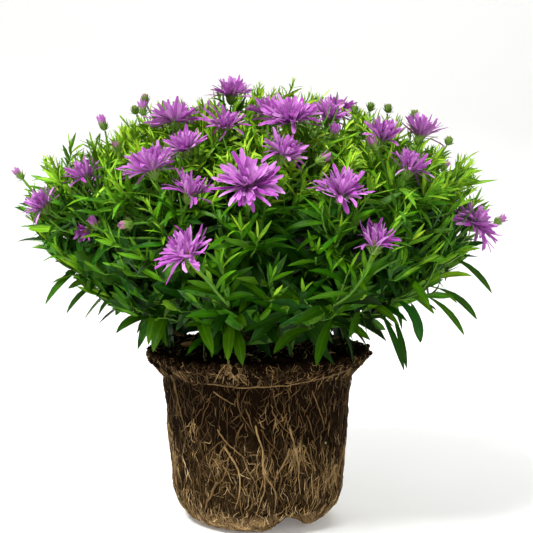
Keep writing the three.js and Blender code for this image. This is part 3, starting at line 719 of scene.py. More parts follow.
# Camera, floor and light, in metres
FLOOR = Sizes(half_width=2.6, front=-1.6, back=1.0, cove=0.7, top=2.6)
LIGHTS = [("key light", (-0.45, -0.6, 1.1), 0.4, 25.0), ("fill light", (0.9, -0.9, 0.6), 0.9, 5.0),
          ("back light", (0.3, 0.9, 1.0), 0.8, 8.0)]
LIT_PLACE = Vector((0, 0, 0.13))


def set_stage():
    scene = bpy.context.scene
    camera = bpy.data.objects.new("camera", bpy.data.cameras.new("camera"))
    camera.location = Vector(CAMERA.place) * MM
    camera.rotation_euler = (math.radians(90 - CAMERA.pitch), 0, 0)
    camera.data.lens, camera.data.sensor_width = CAMERA.lens, CAMERA.sensor
    camera.data.clip_start = 0.01
    scene.collection.objects.link(camera)
    scene.camera = camera

    cove = [(FLOOR.back + FLOOR.cove * math.sin(a), FLOOR.cove - FLOOR.cove * math.cos(a))
            for a in np.linspace(0, math.pi / 2, 13)[1:]]
    rows = [(FLOOR.front, 0), (FLOOR.back, 0), *cove, (FLOOR.back + FLOOR.cove, FLOOR.top)]
    corners = [(x, y, z) for y, z in rows for x in (-FLOOR.half_width, FLOOR.half_width)]
    faces = [(2 * k, 2 * k + 1, 2 * k + 3, 2 * k + 2) for k in range(len(rows) - 1)]
    mesh = bpy.data.meshes.new("floor")
    mesh.from_pydata(corners, [], faces)
    mesh.shade_smooth()
    material, add = new_material("pale studio paper")
    finish_material(add, "#f4f4f2", 0.9, 1.5, **{"Emission Color": "#ffffff", "Emission Strength": 0.14})
    mesh.materials.append(material)
    floor = bpy.data.objects.new("floor", mesh)
    scene.collection.objects.link(floor)
    floor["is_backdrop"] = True

    for name, place, size, watts in LIGHTS:
        light = bpy.data.objects.new(name, bpy.data.lights.new(name, "AREA"))
        light.data.shape, light.data.size, light.data.energy = "DISK", size, watts
        light.location = place
        light.rotation_euler = (LIT_PLACE - light.location).to_track_quat("-Z", "Y").to_euler()
        scene.collection.objects.link(light)
    scene.world = bpy.data.worlds.new("studio")
    scene.world.use_nodes = True
    backdrop = scene.world.node_tree.nodes["Background"].inputs
    backdrop["Color"].default_value, backdrop["Strength"].default_value = linear("#ffffff"), 0.38
    scene.view_settings.view_transform = "Standard"


# Root ball
def ball_profile():
    """Outline of the ball from the middle of its underside to the middle of its top, in radius and height."""
    b = BALL
    arc = [(b.foot - b.edge * (1 - math.sin(a)), b.edge * (1 - math.cos(a)))
           for a in np.linspace(0, math.pi / 2, 16)]
    top = [(b.shoulder, b.ledge), (b.collar, b.ledge + 0.6), (b.rim, b.rim_low), (b.rim - 0.5, b.rim_top),
           (b.rim - 3, b.rim_top + 0.8), (b.rim - 12, b.rim_top + 2), (35, b.soil), (0, b.soil)]
    return np.array([(0, 0)] + arc + top, float)


PROFILE = ball_profile()
RUN = np.concatenate([[0], np.cumsum(np.linalg.norm(np.diff(PROFILE, axis=0), axis=1))])
WALL = slice(1, -3)  # the part of the profile that rises all the way


def run_at_height(z):
    return np.interp(z, PROFILE[WALL, 1], RUN[WALL])


def on_profile(run):
    """Radius and height at a run along the profile."""
    return np.interp(run, RUN, PROFILE[:, 0]), np.interp(run, RUN, PROFILE[:, 1])


def slot_ceiling(points):
    """Height of the drain slots' ceiling over each point, nought outside them."""
    height = np.zeros(points.shape[:-1])
    for azimuth in SLOT.azimuths:
        along, off = points @ leaning(azimuth, 90), np.abs(points @ leaning(azimuth + 90, 90))
        wall = np.clip((SLOT.half_width + SLOT.flare - off) / SLOT.flare, 0, 1)
        height = np.maximum(height, SLOT.depth * wall * np.clip((along - SLOT.inner) / 1.5, 0, 1))
    return height


def on_ball(azimuth, run, lift=0.0):
    """Points on the ball's slightly uneven surface at a run along its profile, and the way it faces there."""
    radius, z = on_profile(run)
    (radius_on, z_on), (radius_back, z_back) = on_profile(run + 1), on_profile(run - 1)
    bare = polar(radius, azimuth, z)
    facing = unit(polar(z_on - z_back, azimuth, radius_back - radius_on))
    loose = np.clip((z - 85) / 6, 0, 1)
    uneven = lumps(bare, 19.0) * 0.7 + lumps(bare, 7.0) * 0.4 + lumps(bare, 2.4) * (0.3 + 0.5 * loose) - 0.8
    uneven += np.abs(lumps(bare, 4.2)) * 2.8 * loose
    points = bare + facing * (uneven * np.clip(z / 8.0, 0, 1) + lift)[..., None]
    points[..., 2] = np.maximum(points[..., 2], slot_ceiling(points))
    return points, facing


def make_soil(material):
    """The compost: one closed skin, crumbly at the rim and on top, smooth where the pot's wall pressed it."""
    rings, around, lowest = 150, 230, 0.45
    runs = np.linspace(0, RUN[-1], rings)[:, None]
    azimuth, run = np.broadcast_arrays(np.arange(around) * 360 / around, runs)
    points, _ = on_ball(azimuth, run)
    points[..., 2] = np.maximum(points[..., 2], lowest)
    vertices = np.concatenate([[points[0].mean(0)], points[1:-1].reshape(-1, 3), [points[-1].mean(0)]])
    top, last_ring = len(vertices) - 1, 1 + (rings - 3) * around
    faces = []
    for j in range(around):
        k = (j + 1) % around
        faces.append((0, 1 + k, 1 + j))
        for low in range(1, last_ring, around):
            faces.append((low + j, low + k, low + around + k, low + around + j))
        faces.append((last_ring + j, last_ring + k, top))
    mesh = bpy.data.meshes.new("soil_ball")
    mesh.from_pydata((vertices * MM).tolist(), [], faces)
    mesh.shade_smooth()
    mesh.materials.append(material)
    soil = bpy.data.objects.new("soil_ball", mesh)
    bpy.context.scene.collection.objects.link(soil)
    return soil


def sown(soil, name, low, high):
    """A copy of the soil's skin, marked to carry no grains below one height and all of them from another."""
    mesh = soil.data.copy()
    mesh.name = name
    heights = np.array([v.co.z for v in mesh.vertices]) / MM
    share = np.clip((heights - low) / (high - low), 0, 1).astype(np.float32)
    mesh.attributes.new("crumbly", "FLOAT", "POINT").data.foreach_set("value", share)
    return mesh


def creep(azimuth, run, heading, length, points=8, wander=0.4, lift=0.25):
    """Roots that creep over the ball, each from its place, heading down (0), sideways (90) or up (180)."""
    azimuth, run = np.array(azimuth, float), np.array(run, float)
    course = np.radians(np.array(heading, float))
    aim, height = course.copy(), np.full(len(azimuth), float(lift))
    step = np.asarray(length, float) / (points - 1)
    trail = []
    for _ in range(points):
        place, _ = on_ball(azimuth, run, height)
        place[:, 2] = np.maximum(place[:, 2], 0.3)
        trail.append(place)
        radius = np.maximum(on_profile(run)[0], 6)
        azimuth = azimuth + np.degrees(np.sin(aim) * step / radius)
        run = np.clip(run - np.cos(aim) * step, 3, RUN[-1] - 2)
        aim = aim + rng.normal(0, wander, len(aim)) + 0.3 * (course - aim)
        height = np.clip(height + rng.normal(0, 0.15, len(aim)), -0.15, 0.9)
    return np.stack(trail, 1)


def thinning(count, ends=0.35):
    """Thickness along a root that thins towards both ends."""
    return 1 - (1 - ends) * np.abs(np.linspace(-1, 1, count)) ** 2.5


def make_root_net(lines, count, heights, thick, length, lean, tone, wander, points=4, crowding=1.0):
    """Strands strewn over a band of the ball's wall, crowding towards its lower edge."""
    z = heights[0] + (heights[1] - heights[0]) * rng.random(count) ** crowding
    lengths = rng.uniform(*length, count)
    start = run_at_height(z) + 0.4 * lengths * np.cos(np.radians(lean[0]))
    heading = rng.choice([-1, 1], count) * lean[0] + rng.normal(0, lean[1], count)
    trail = creep(rng.uniform(-180, 180, count), start, heading, lengths, points, wander)
    thickness = rng.uniform(*thick, count)
    tones = tone[0] + (tone[1] - tone[0]) * rng.random(count) ** 1.5
    lines.add(trail, 0.5 * thickness[:, None] * thinning(points), tone=tones)


def make_fans(lines):
    """Coarser roots that fan downwards out of knots."""
    for azimuth, z, count, spread, length in FANS:
        heading = np.linspace(-spread, spread, count) + rng.normal(0, 6, count)
        start = np.full(count, float(azimuth)) + rng.normal(0, 1.3, count)
        run = run_at_height(z) + rng.normal(0, 1.2, count)
        trail = creep(start, run, heading, length * rng.uniform(0.6, 1.1, count), 10, 0.25, 0.5)
        thickness = rng.uniform(0.5, 1.0, count)
        lines.add(trail, 0.5 * thickness[:, None] * np.linspace(1, 0.4, 10),
                  tone=rng.uniform(0.4, 0.75, count))


def front_azimuth(x, run):
    """Azimuth of the place on the ball's front that lies x to the right of its axis."""
    radius, _ = on_profile(run)
    return np.degrees(np.arctan2(-np.sqrt(np.maximum(radius ** 2 - x ** 2, 1)), x))


def make_root_tufts(lines):
    """Fine roots bunched on the front, wilder on the collar than below the ledge."""
    for x, z, count, spread, length in ROOT_TUFTS:
        scatter, wander = (0, 0.75) if z > BALL.ledge else (2.5, 0.35)
        run = run_at_height(z) + rng.normal(0, 1 + scatter, count)
        start = front_azimuth(x, run) + rng.normal(0, 1.5 + scatter, count)
        heading = rng.uniform(-spread, spread, count)
        trail = creep(start, run, heading, length * rng.uniform(0.4, 1.1, count), 7, wander, 0.6)
        thickness = rng.uniform(0.28, 0.45, count)
        lines.add(trail, 0.5 * thickness[:, None] * thinning(7, 0.5), tone=rng.uniform(0.35, 0.8, count))


def cut_corners(points, rounds=3):
    """A smooth line through a coarse one, by cutting its corners."""
    for _ in range(rounds):
        a, b = points[:-1], points[1:]
        inner = np.stack([0.75 * a + 0.25 * b, 0.25 * a + 0.75 * b], 1).reshape(-1, points.shape[1])
        points = np.concatenate([points[:1], inner, points[-1:]])
    return points


def make_front_roots(lines):
    """The thick roots that the photograph shows, knobbly and tapering."""
    for thick, tone, route in FRONT_ROOTS:
        x, z = cut_corners(np.array(route, float)).T
        run = run_at_height(z)
        points, facing = on_ball(front_azimuth(x, run), run, 0.3 + 0.3 * thick)
        side = np.cross(tangents(points), facing)
        points += side * (0.35 * lumps(points, 3.0))[:, None]
        knobs = 1 + 0.25 * lumps(points, 2.4) + 0.15 * lumps(points, 1.0)
        taper = np.interp(np.linspace(0, 1, len(points)), [0, 0.08, 0.5, 1], [0.6, 1.1, 0.9, 0.4])
        lines.add(points, 0.5 * thick * taper * knobs, tone=tone)


def make_litter(lines, dry_leaves):
    """Moss and broken straw on the compost, and a few dead leaves."""
    count, reach = 480, 58
    radius, azimuth = reach * np.sqrt(rng.random(count)), rng.uniform(-180, 180, count)
    moss = rng.random(count) < 0.75
    heap = 5.0 * rng.random(count) * np.exp(-((radius - 32) / 10) ** 2)
    start = polar(radius, azimuth, BALL.soil + 0.6 - 0.0009 * radius ** 2 + heap)
    heading = rng.uniform(-180, 180, count)
    run = leaning(heading, np.where(moss, rng.uniform(20, 80, count), rng.uniform(78, 88, count)))
    length = np.where(moss, rng.uniform(2, 5, count), rng.uniform(4, 11, count))
    points = start[:, None] + run[:, None] * (length[:, None] * np.linspace(0, 1, 6))[..., None]
    points += rng.normal(0, 0.35, points.shape)
    tone = np.where(moss, rng.uniform(0, 0.35, count), rng.uniform(0.55, 1.0, count))
    thick = np.where(moss, 0.5, rng.uniform(0.5, 1.0, count))
    lies = np.hypot(points[..., 0], points[..., 1]).max(1) <= reach + 2
    lines.add(points[lies], 0.5 * thick[lies, None] * thinning(6), tone=tone[lies])
    count = 14
    azimuth = -125 + GOLDEN_ANGLE * np.arange(count)
    start = polar(rng.uniform(30, 44, count), azimuth, rng.uniform(100, 104, count))
    blades = make_blades(start, leaning(azimuth + rng.normal(0, 40, count), rng.uniform(70, 100, count)),
                         np.tile(UP, (count, 1)), rng.uniform(10, 16, count), rng.uniform(1.4, 2.2, count),
                         LONG_LEAF, -UP, 0.6, -0.8, rng.normal(0, 1.5, count))
    dry_leaves.add(*blades, tone=rng.uniform(0.4, 0.7, count))


# Crown and shoots
def crown_height(radius):
    return BALL.soil + GAP + CROWN.height * math.sqrt(max(0.0, 1 - (radius / CROWN.radius) ** 2))


def make_crown(lines):
    """A low knot of short woody stubs that the stems rise from."""
    count = 60
    for k in range(count):
        radius, azimuth = 24 * math.sqrt((k + 0.5) / count), GOLDEN_ANGLE * k
        foot = polar(radius, azimuth, crown_height(radius) - 1.5)
        way = unit(leaning(azimuth, 70 * radius / CROWN.radius) + rng.normal(0, 0.25, 3))
        length = rng.uniform(3, 6)
        stub = bezier(foot - way * 1.5, foot + way * 0.6 * length, foot + way * length, count=6)
        lines.add(stub, np.array([1.1, 1.6, 1.7, 1.5, 1.1, 0.3]) * rng.uniform(0.8, 1.4),
                  tone=rng.uniform(0.1, 0.4))


def main_stem(shoot):
    """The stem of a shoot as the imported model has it, as 16 points from its foot to its tip."""
    head = np.array(shoot["at"], float)
    facing = leaning(*shoot["faces"])
    reach = math.hypot(head[0], head[1])
    foot_radius = 3.5 + 0.135 * reach
    bearing = math.degrees(math.atan2(head[1], head[0])) + shoot.get("swing", 0)
    lean = 0.42 * reach
    seat = crown_height(foot_radius) + GAP + STEM_THICK / 2 * math.sin(math.radians(lean))
    foot = polar(foot_radius, bearing, seat)
    drop = {"bud": BUD_HEIGHT / 2, "leaves": 0}.get(shoot.get("ends"), CALYX_HEIGHT)
    tip = head - facing * (drop + GAP)
    length = np.linalg.norm(tip - foot)
    rising, arriving = foot + leaning(bearing, lean) * 0.42 * length, tip - facing * 0.34 * length
    return bezier(foot, rising, arriving, tip, count=16)


STEMS = [main_stem(s) for s in SHOOTS]
STEM_POINTS = np.concatenate([s[3:13] for s in STEMS])
STEM_WAYS = np.concatenate([tangents(s)[3:13] for s in STEMS])
# What leaves keep clear of: place, way that it faces and half its width
IN_SIGHT = ([(h["at"], h["faces"], h["across"] / 2) for h in SHOOTS + SIDE_HEADS if "across" in h]
            + [(b["at"], b["faces"], 5) for b in SIDE_BUDS]
            + [(s["bud"], (0, 0), 5) for s in SHOOTS if "bud" in s])


def side_shoot(tip, facing, drop=0.0):
    """A side shoot's line from the best placed main stem to a tip."""
    tip = np.asarray(tip, float) - np.asarray(facing) * drop
    gap = tip - STEM_POINTS
    far = np.linalg.norm(gap, axis=1)
    bend = np.sum(unit(gap) * STEM_WAYS, axis=1)
    # The best fork is 38 mm back, on a stem that already points at the tip and is well below it
    cost = np.abs(far - 38) + 45 * (1 - bend) + 0.3 * np.maximum(0, STEM_POINTS[:, 2] - tip[2] + 10)
    k = int(np.argmin(cost))
    start, way = STEM_POINTS[k], STEM_WAYS[k]
    return bezier(start, start + way * 0.35 * far[k], tip - facing * 0.35 * far[k], tip, count=7)


def spread_tips(count, lowest, reach, unevenness):
    """Tips of leafy side shoots, spread evenly over the dome and a little inside it, with the way that
    each grows and its angle above level."""
    inside = 9
    k = np.arange(count) + 0.5
    low = math.sin(math.radians(lowest))
    elevation = np.degrees(np.arcsin(low + (1 - low) * k / count)) + rng.normal(0, 2, count)
    elevation = np.clip(elevation, lowest, 90)
    azimuth = GOLDEN_ANGLE * k + rng.normal(0, 2.5, count)
    radius = np.interp(elevation, *DOME) * reach - inside + rng.normal(0, unevenness, count)
    e = np.radians(elevation)
    out = polar(np.cos(e), azimuth, np.sin(e))
    return DOME_FOOT + out * radius[:, None], unit(out + UP * 0.55), elevation


# Leaves
def clears_heads(points):
    """True for each blade that doesn't cover a head or bud, seen along the head's own axis or from the
    front."""
    clear = np.ones(len(points), bool)
    for place, faces, reach in IN_SIGHT:
        centre = np.array(place, float)
        off = points - centre
        from_front = unit(np.array(CAMERA.place, float) - centre)
        for look, start, end, width in ((leaning(*faces), -3, 2 * reach, 0.9), (from_front, 3, 60, 0.75)):
            along = off @ look
            aside = np.linalg.norm(off - along[..., None] * look, axis=-1)
            clear &= ~np.any((along > start) & (along < end) & (aside < width * reach), axis=1)
    return clear


def stays_in(points, below):
    """True for each blade that stays above the dome's underside, or that far below, and doesn't stand out
    of its top. Tips may hang lower and stand out further than bases."""
    radius = np.hypot(points[..., 0], points[..., 1])
    lowest = np.interp(radius, *UNDERSIDE) - below
    hang = 1 + rng.exponential(5.5, (len(points), 1)) * np.linspace(0, 1, points.shape[1]) ** 2
    off = points - DOME_FOOT
    far = np.linalg.norm(off, axis=-1)
    elevation = np.degrees(np.arcsin(off[..., 2] / far))
    furthest = np.interp(elevation, *DOME) + 1 + rng.exponential(3.0, (len(points), 1))
    high_enough = np.all(points[..., 2] > lowest - hang, axis=1)
    return high_enough & np.all((far < furthest + below) | (elevation < 10), axis=1)


def keep_off_soil(points):
    """Leaf points that would dip into the ball are pushed out over its rim, or up onto the compost."""
    b, top = BALL, BALL.soil + 1
    radius = np.hypot(points[..., 0], points[..., 1])
    wall = 1.5 + np.interp(points[..., 2], [b.edge, b.ledge, b.ledge + 1, b.rim_low, b.rim_top],
                           [b.foot, b.shoulder, b.collar, b.rim, b.rim])
    inside = (points[..., 2] < top) & (radius < wall)
    sideways = inside & (wall - radius < top - points[..., 2])
    scale = np.where(sideways, wall / np.maximum(radius, 1), 1)
    points[..., :2] *= scale[..., None]
    points[..., 2] = np.where(inside & ~sideways, float(top), points[..., 2])
    return points


def leaves_on(line, count, first, last, longest, shortest, tone, spin, slender=5.6, spread=(66, 26),
              droop=0.5):
    """Leaves on one stem, from a first share of its length to a last: their points, ways, upper sides,
    lengths, half widths, tones, bends, curls and twists."""
    share = np.linspace(0, 1, count)
    at = (first + (last - first) * share) * (len(line) - 1)
    low = np.clip(at.astype(int), 0, len(line) - 2)
    part = (at - low)[:, None]
    point = line[low] + (line[low + 1] - line[low]) * part
    way = tangents(line)
    along = unit(way[low] + (way[low + 1] - way[low]) * part)
    side = square_to(np.tile([0.31, 0.17, 0.93], (count, 1)), along)
    outward = turned(side, along, np.radians(GOLDEN_ANGLE * np.arange(count) + spin))
    angle = np.radians(spread[0] + (spread[1] - spread[0]) * share ** 1.5 + rng.normal(0, 9, count))
    run = along * np.cos(angle)[:, None] + outward * np.sin(angle)[:, None]
    length = (longest + (shortest - longest) * share ** 1.6) * rng.uniform(0.78, 1.15, count)
    width = length / slender * rng.uniform(0.8, 1.2, count) * (1.12 - 0.2 * share)
    length = length * np.where(rng.random(count) < 0.05, 1.5, 1.0)
    tones = np.clip(tone[0] + (tone[1] - tone[0]) * share + rng.normal(0, 0.09, count), 0, 1)
    bend = droop * (1.15 - share) * rng.uniform(0.3, 1.5, count)
    return [point, run, along, length, 0.5 * width, tones, bend, rng.normal(0.25, 0.35, count),
            rng.normal(0, 0.6, count)]


def make_leaves(lines, seeds, outline, below):
    """Leaves from what leaves_on gives, darker with painted shade the further in they lie in the dome."""
    columns = (np.concatenate(column) for column in zip(*seeds))
    point, run, face, length, half, tone, bend, curl, twist = columns
    points, widths, sides = make_blades(point, run, face, length, half, outline, -UP, bend, curl, twist)
    points = keep_off_soil(points)
    keep = clears_heads(points) & stays_in(points, below)
    middle = points[:, len(outline) // 2] - DOME_FOOT
    elevation = np.degrees(np.arcsin(unit(middle)[:, 2]))
    depth = np.linalg.norm(middle, axis=1) / np.interp(elevation, *DOME)
    # Painted shade: the tone darkens with depth in the dome, and less so under the open sky at its top
    open_sky = np.clip((elevation - 34) / 22, 0, 1)
    shade = 0.12 + 0.88 * np.clip((depth - 0.55 + 0.1 * open_sky) / 0.38, 0, 1) ** (1.4 - 0.65 * open_sky)
    lines.add(points[keep], widths[keep], sides[keep], tone=(tone * shade)[keep],
              tint=(rng.normal(0.3, 0.8, len(points)) - 1.1 * open_sky)[keep])


def make_rim_leaves(lines, stems):
    """The big leaves over the rim, each on a short twig and aimed so that it droops to its place."""
    base, tip, width, tone = map(np.array, zip(*RIM_LEAVES))
    base, tip = base.astype(float), tip.astype(float)
    length = np.linalg.norm(tip - base, axis=1) * 1.06
    aim = unit(tip - base)
    for _ in range(5):
        face = square_to(np.tile([0.0, -0.8, 0.6], (len(base), 1)), unit(aim))
        blades = make_blades(base, aim, face, length, width / 2, BROAD_LEAF, -UP, 0.9, 0.1, 0.25)
        aim = aim + (tip - blades[0][:, -1]) / length[:, None]
    for place, way in zip(base, unit(aim)):
        stems.add(side_shoot(place, way), np.linspace(0.7, 0.4, 7), tone=0.8)
    lines.add(*blades, tone=tone - 0.04, tint=rng.normal(-0.6, 0.5, len(base)))


# Flower heads and buds
florets, discs, bracts, cups, tufts = (Lines() for _ in range(5))


def around_axis(axis, azimuth, lift):
    """Unit vectors that stand round an axis at an azimuth, lifted from square to it towards it."""
    side = square_to(np.array([0.2, 0.9, 0.3]), axis)
    a, e = np.radians(azimuth)[..., None], np.radians(lift)[..., None]
    out = side * np.cos(a) + np.cross(axis, side) * np.sin(a)
    return out * np.cos(e) + axis * np.sin(e), axis * np.cos(e) - out * np.sin(e), out


def make_cup(axis, base, radius, height, count):
    """The green cup under a head or bud: a swollen body in three rows of narrow bracts, the outer ones
    loose."""
    share = np.array([0.0, 0.12, 0.3, 0.55, 0.8, 0.95])
    cups.add(base + axis * (share * height)[:, None], radius * np.array([0.3, 0.5, 0.64, 0.7, 0.64, 0.4]))
    for row, (lift, start_share, start_out) in enumerate(BRACT_ROWS):
        azimuth = (np.arange(count) + rng.uniform(-0.3, 0.3, count)) * 360 / count + 15 * row
        run, face, out = around_axis(axis, azimuth, lift + rng.normal(0, 10, count))
        start = base + axis * (start_share * height) + out * (radius * start_out)
        length = height * 0.78 * rng.uniform(0.8, 1.25, count)
        bracts.add(*make_blades(start, run, face, length, rng.uniform(0.42, 0.62, count), BRACT, axis,
                                0.3 + 0.1 * row, rng.normal(0, 0.35, count)))


def make_head(head, base):
    """A flower head: rows of florets round a disc, on its cup. A ragged one has fewer florets, which are
    shorter, narrower and less even."""
    axis = leaning(*head["faces"])
    base = np.asarray(base, float) + axis * GAP
    full, openness, ragged = head["across"] / 2, head["open"], head.get("ragged", 0.0)
    for row, (count, share, steeper, width) in enumerate(FLORET_ROWS):
        count = max(5, round(count * (0.7 + 0.3 * openness) * (1 - 0.3 * ragged)))
        azimuth = (np.arange(count) + rng.uniform(-0.8, 0.8, count)) * 360 / count + 17 * row
        lift = np.minimum(86, 80 - 80 * openness + steeper + rng.normal(0, 16, count))
        run, face, out = around_axis(axis, azimuth, lift)
        start = base + axis * (4.6 + 0.35 * row) + out * (2.2 - 0.38 * row)
        length = (full * share - 0.6) * rng.uniform(0.8 - 0.2 * ragged, 1.14, count)
        sideways = np.cross(axis, out) * rng.normal(0, 0.42 + 0.4 * ragged, (count, 1))
        pull = axis * (np.where(lift < 40, -0.15, 0.35) + rng.normal(0, 0.3, count))[:, None] + sideways
        half = 0.5 * width * (full / 14) * rng.uniform(0.75 - 0.35 * ragged, 1.15 - 0.4 * ragged, count)
        blades = make_blades(start, run, face, length, half, FLORET, pull, 1.0,
                             rng.normal(0.05, 0.3 + 0.6 * ragged, count), rng.normal(0, 0.45, count))
        tone = np.clip(0.26 + 0.07 * row - 0.2 * ragged + rng.normal(0, 0.2, count), 0, 1)
        florets.add(*blades, tone=np.where(rng.random(count) < 0.16, 1.0, tone))
    tubes = np.arange(16)
    step = np.sqrt(tubes)
    run, face, out = around_axis(axis, GOLDEN_ANGLE * tubes, 90 - 9 * step)
    start = base + axis * 5.2 + out * (0.32 * step)[:, None]
    discs.add(*make_blades(start, run, face, rng.uniform(2.2, 3.4, len(tubes)), 0.42, DISC_TUBE, axis))
    make_cup(axis, base, 3.0, CALYX_HEIGHT, 12)


def make_bud(axis, base, openness, size=1.0):
    """A bud: its cup, and a pointed tuft of rolled florets that stands out of it further as it opens."""
    base = np.asarray(base, float) + axis * GAP
    make_cup(axis, base, 2.3 * size, 4.4 * size, 10)
    for row, count in enumerate((9, 7, 4)):
        azimuth = np.arange(count) * 360 / count + 20 * row + rng.normal(0, 6, count)
        run, face, out = around_axis(axis, azimuth, 84 - 22 * openness ** 2 + rng.normal(0, 5, count))
        start = base + axis * 3.0 * size + out * (1.4 - 0.45 * row) * size
        length = (1.8 + 4.6 * openness) * rng.uniform(0.75, 1.15, count) * size
        blades = make_blades(start, run, face, length, 0.55 * size, FLORET, -out, 0.35 - 0.3 * openness,
                             rng.normal(0, 0.15, count), rng.normal(0, 0.3, count))
        if openness > 0:
            tufts.add(*blades, tone=np.clip(0.2 + rng.normal(0, 0.15, count), 0, 1),
                      young=min(0.75, max(0.0, 1.0 - 1.4 * openness)))
        else:
            bracts.add(*blades)


# Stage and lines of the root ball
set_stage()
fine, coarse, front, litter, dry_leaves, knots, stems = (Lines() for _ in range(7))
for net in FINE_NETS:
    make_root_net(fine, **net)
make_root_net(coarse, **COARSE_NET)
make_root_tufts(coarse)
make_fans(coarse)
make_front_roots(front)
make_litter(litter, dry_leaves)
make_crown(knots)

# Sets of leaves: piece, outline and how far it may hang below the dome's underside
LEAF_SETS = [("leaves_low", LONG_LEAF, 9), ("leaves_middle", LONG_LEAF, 0),
             ("leaves_side_tips", SHORT_LEAF, 0), ("leaves_top_tips", SMALL_LEAF, 0),
             ("leaves_hanging", BROAD_LEAF, 50)]
low, middle, side_tips, top_tips, hanging = seeds = [[] for _ in LEAF_SETS]
for k, (shoot, line) in enumerate(zip(SHOOTS, STEMS)):
    hangs = shoot.get("ends") == "leaves"
    share = np.linspace(0, 1, len(line))
    age = (line[:, 2] - 102) / 34
    age = np.maximum(age, 2 * share - 0.8) if hangs else age
    stems.add(line, 1.25 - (0.8 if hangs else 0.6) * share, tone=np.clip(age, 0, 1))
    low.append(leaves_on(line, 16, 0.12, 0.6, 32, 23, (0.2, 0.38), 47 * k, 5.0, droop=0.9))
    if hangs:
        hanging.append(leaves_on(line, 9, 0.6, 0.99, 26, 15, (0.28, 0.45), 53 * k, 5.2, (50, 20), 0.8))
    else:
        size = np.interp(line[-1, 2], [150, 210], [24, 16])
        low.append(leaves_on(line, 26, 0.52, 0.95, size, 0.4 * size, (0.35, 0.75), 31 * k, 5.2))

# Leafy side shoots: number, lowest angle and share of the dome that they reach, the innermost last
for count, lowest, reach in ((480, 13, 1.0), (200, 36, 0.95), (150, 18, 0.8)):
    for k, (tip, way, elevation) in enumerate(zip(*spread_tips(count, lowest, reach, 4.0))):
        line = side_shoot(tip, way)
        stems.add(line, np.linspace(0.7, 0.35, len(line)), tone=np.clip((line[:, 2] - 95) / 25, 0.3, 1))
        size, slender = np.interp(elevation, *LEAF_LENGTH), np.interp(elevation, *LEAF_SLENDER)
        # Painted light and shade: shoots that end higher on the dome get lighter leaves, lower ones darker
        # ones
        light = np.interp(elevation, [14, 24, 36, 60], [-0.22, -0.12, 0.0, 0.1])
        droop = np.interp(elevation, [15, 30], [1.3, 0.5])
        # Painted shade: the innermost shoots get dark leaves, deep in the dome
        if reach < 0.9:
            middle.append(leaves_on(line, 9, 0.2, 1.0, 1.7 * size, 1.5 * size, (0.2, 0.35), 61 * k,
                                    0.75 * slender))
        elif elevation > HIGH:
            middle.append(leaves_on(line, 5, 0.2, 0.7, 1.2 * size, size, (0.46, 0.74), 61 * k, slender))
            top_tips.append(leaves_on(line, 16, 0.68, 1.0, 0.95 * size, 0.42 * size, (0.6, 1.0), 29 * k,
                                      slender, (56, 8), 0.15))
        else:
            middle.append(leaves_on(line, 6, 0.15, 0.72, 1.2 * size, size, (0.26 + light, 0.44 + light),
                                    61 * k, slender, droop=droop))
            tips = round(np.interp(elevation, [15, 35], [9, 14]))
            side_tips.append(leaves_on(line, tips, 0.64, 1.0, 0.98 * size, 0.42 * size,
                                       (0.4 + light, 0.9 + light), 29 * k, slender, (60, 12), 0.4 * droop))

for shoot, line in zip(SHOOTS, STEMS):
    if "across" in shoot:
        make_head(shoot, line[-1])
for head in SIDE_HEADS:
    line = side_shoot(head["at"], leaning(*head["faces"]), CALYX_HEIGHT + GAP)
    stems.add(line, np.linspace(0.8, 0.6, len(line)), tone=1.0)
    top_tips.append(leaves_on(line, 12, 0.3, 0.93, 15, 6, (0.45, 0.9), 37, spread=(55, 25)))
    make_head(head, line[-1])
for bud in SIDE_BUDS:
    axis = leaning(*bud["faces"])
    line = side_shoot(bud["at"], axis, 4)
    stems.add(line, np.linspace(0.7, 0.5, len(line)), tone=1.0)
    top_tips.append(leaves_on(line, 12, 0.3, 0.96, 12, 5, (0.45, 0.9), 37, spread=(50, 15)))
    make_bud(axis, line[-1], bud["open"])
for shoot, line in zip(SHOOTS, STEMS):
    if shoot.get("ends") == "bud":
        make_bud(leaning(*shoot["faces"]), line[-1], 0.6)
    if "bud" in shoot:
        seat, fork = np.array(shoot["bud"], float), line[11]
        bend = fork + tangents(line)[11] * 0.5 * np.linalg.norm(seat - fork)
        stalk = bezier(fork, bend, seat, count=8)
        stems.add(stalk, np.linspace(0.65, 0.5, 8), tone=1.0)
        make_bud(tangents(stalk)[-1], seat, shoot.get("bud_open", 0.45), 1.2)

leaves = []
for (name, outline, below), set_seeds in zip(LEAF_SETS, seeds):
    leaves.append(Lines())
    make_leaves(leaves[-1], set_seeds, outline, below)
make_rim_leaves(leaves[-1], stems)


# Finished pieces
def all_nodes(start):
    return sorted(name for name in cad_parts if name.startswith(start))


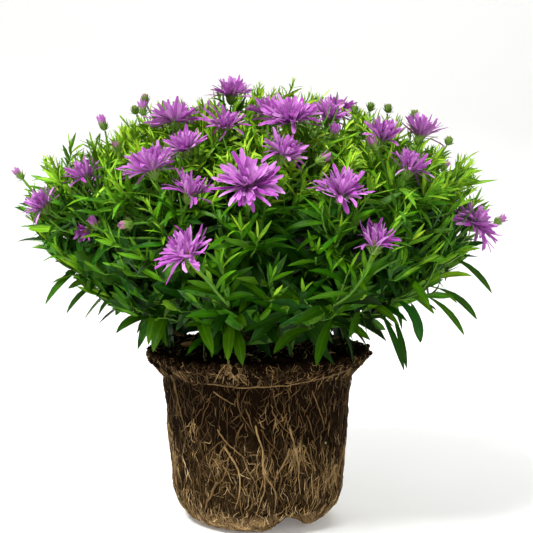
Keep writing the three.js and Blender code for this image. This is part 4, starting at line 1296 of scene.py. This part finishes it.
blades, strands, crumbs = blade_tree(), strand_tree(), crumb_tree()
peat, root_skin, straw, green_stem = compost_material(), root_material(), straw_material(), stem_material()
waxy_leaf, satin, scale, tube = leaf_material(), floret_material(), bract_material(), disc_material()
soil_ball = make_soil(peat)
crumbly, gritty = sown(soil_ball, "compost_crumbs", 86, 90), sown(soil_ball, "perlite_grains", 6, 12)
crumb_sizes = {"Per Square Metre": 70000.0, "Smallest": 0.5 * MM, "Largest": 2.4 * MM, "Seed": 4}
perlite_sizes = {"Per Square Metre": 900.0, "Smallest": 0.4 * MM, "Largest": 1.0 * MM, "Seed": 12}
root_nodes = ["ledge_root", *all_nodes("face_root")]
leaf_rows = [(name, lines, blades, waxy_leaf, dict(Channel=0.32, Keel=0.1), "leaf", [])
             for (name, *_), lines in zip(LEAF_SETS, leaves)]
# Each piece: its name, what it grows from, tree, material, sizes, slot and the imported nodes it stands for
GROWN = [
    ("compost_crumbs", crumbly, crumbs, peat, crumb_sizes, "compost", []),
    ("perlite_grains", gritty, crumbs, perlite_material(), perlite_sizes, "compost", []),
    ("root_net_fine", fine, strands, root_skin, dict(Sides=3), "root", []),
    ("root_net_coarse", coarse, strands, root_skin, dict(Sides=5), "root", []),
    ("surface_roots", front, strands, root_skin, dict(Sides=7), "root", root_nodes),
    ("straw_and_moss", litter, strands, straw, dict(Sides=4), "compost", []),
    ("dry_leaves", dry_leaves, blades, straw, dict(Channel=0.4, Keel=0.1), "compost", []),
    ("woody_crown", knots, strands, green_stem, dict(Sides=8), "root", ["crown"]),
    *leaf_rows,
    ("stems", stems, strands, green_stem, dict(Sides=4), "leaf", all_nodes("shoot")),
    ("ray_florets", florets, blades, satin, dict(Channel=0.34, Keel=0.05), "petal", all_nodes("flower")),
    ("bud_tufts", tufts, blades, satin, dict(Channel=0.5, Keel=0.12), "bud", all_nodes("bud")),
    ("disc_florets", discs, blades, tube, dict(Channel=0.4, Keel=0.5), "petal", []),
    ("bracts", bracts, blades, scale, dict(Channel=0.3, Keel=0.2), "bud", []),
    ("calyx_cups", cups, strands, scale, dict(Sides=10), "bud", []),
]
pieces = [(soil_ball, "compost", ["root_ball"])]
for name, source, tree, material, sizes, slot, nodes in GROWN:
    mesh = source.mesh(name) if isinstance(source, Lines) else source
    pieces.append((grow(name, mesh, tree, material, sizes), slot, nodes))

for piece, slot, nodes in pieces:
    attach(piece, "root")
    if nodes:
        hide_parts(*nodes)

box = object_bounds()
({name: [[float(x) for x in corner] for corner in corners]
           for name, corners in (("cad", cad_box), ("visual", box))})
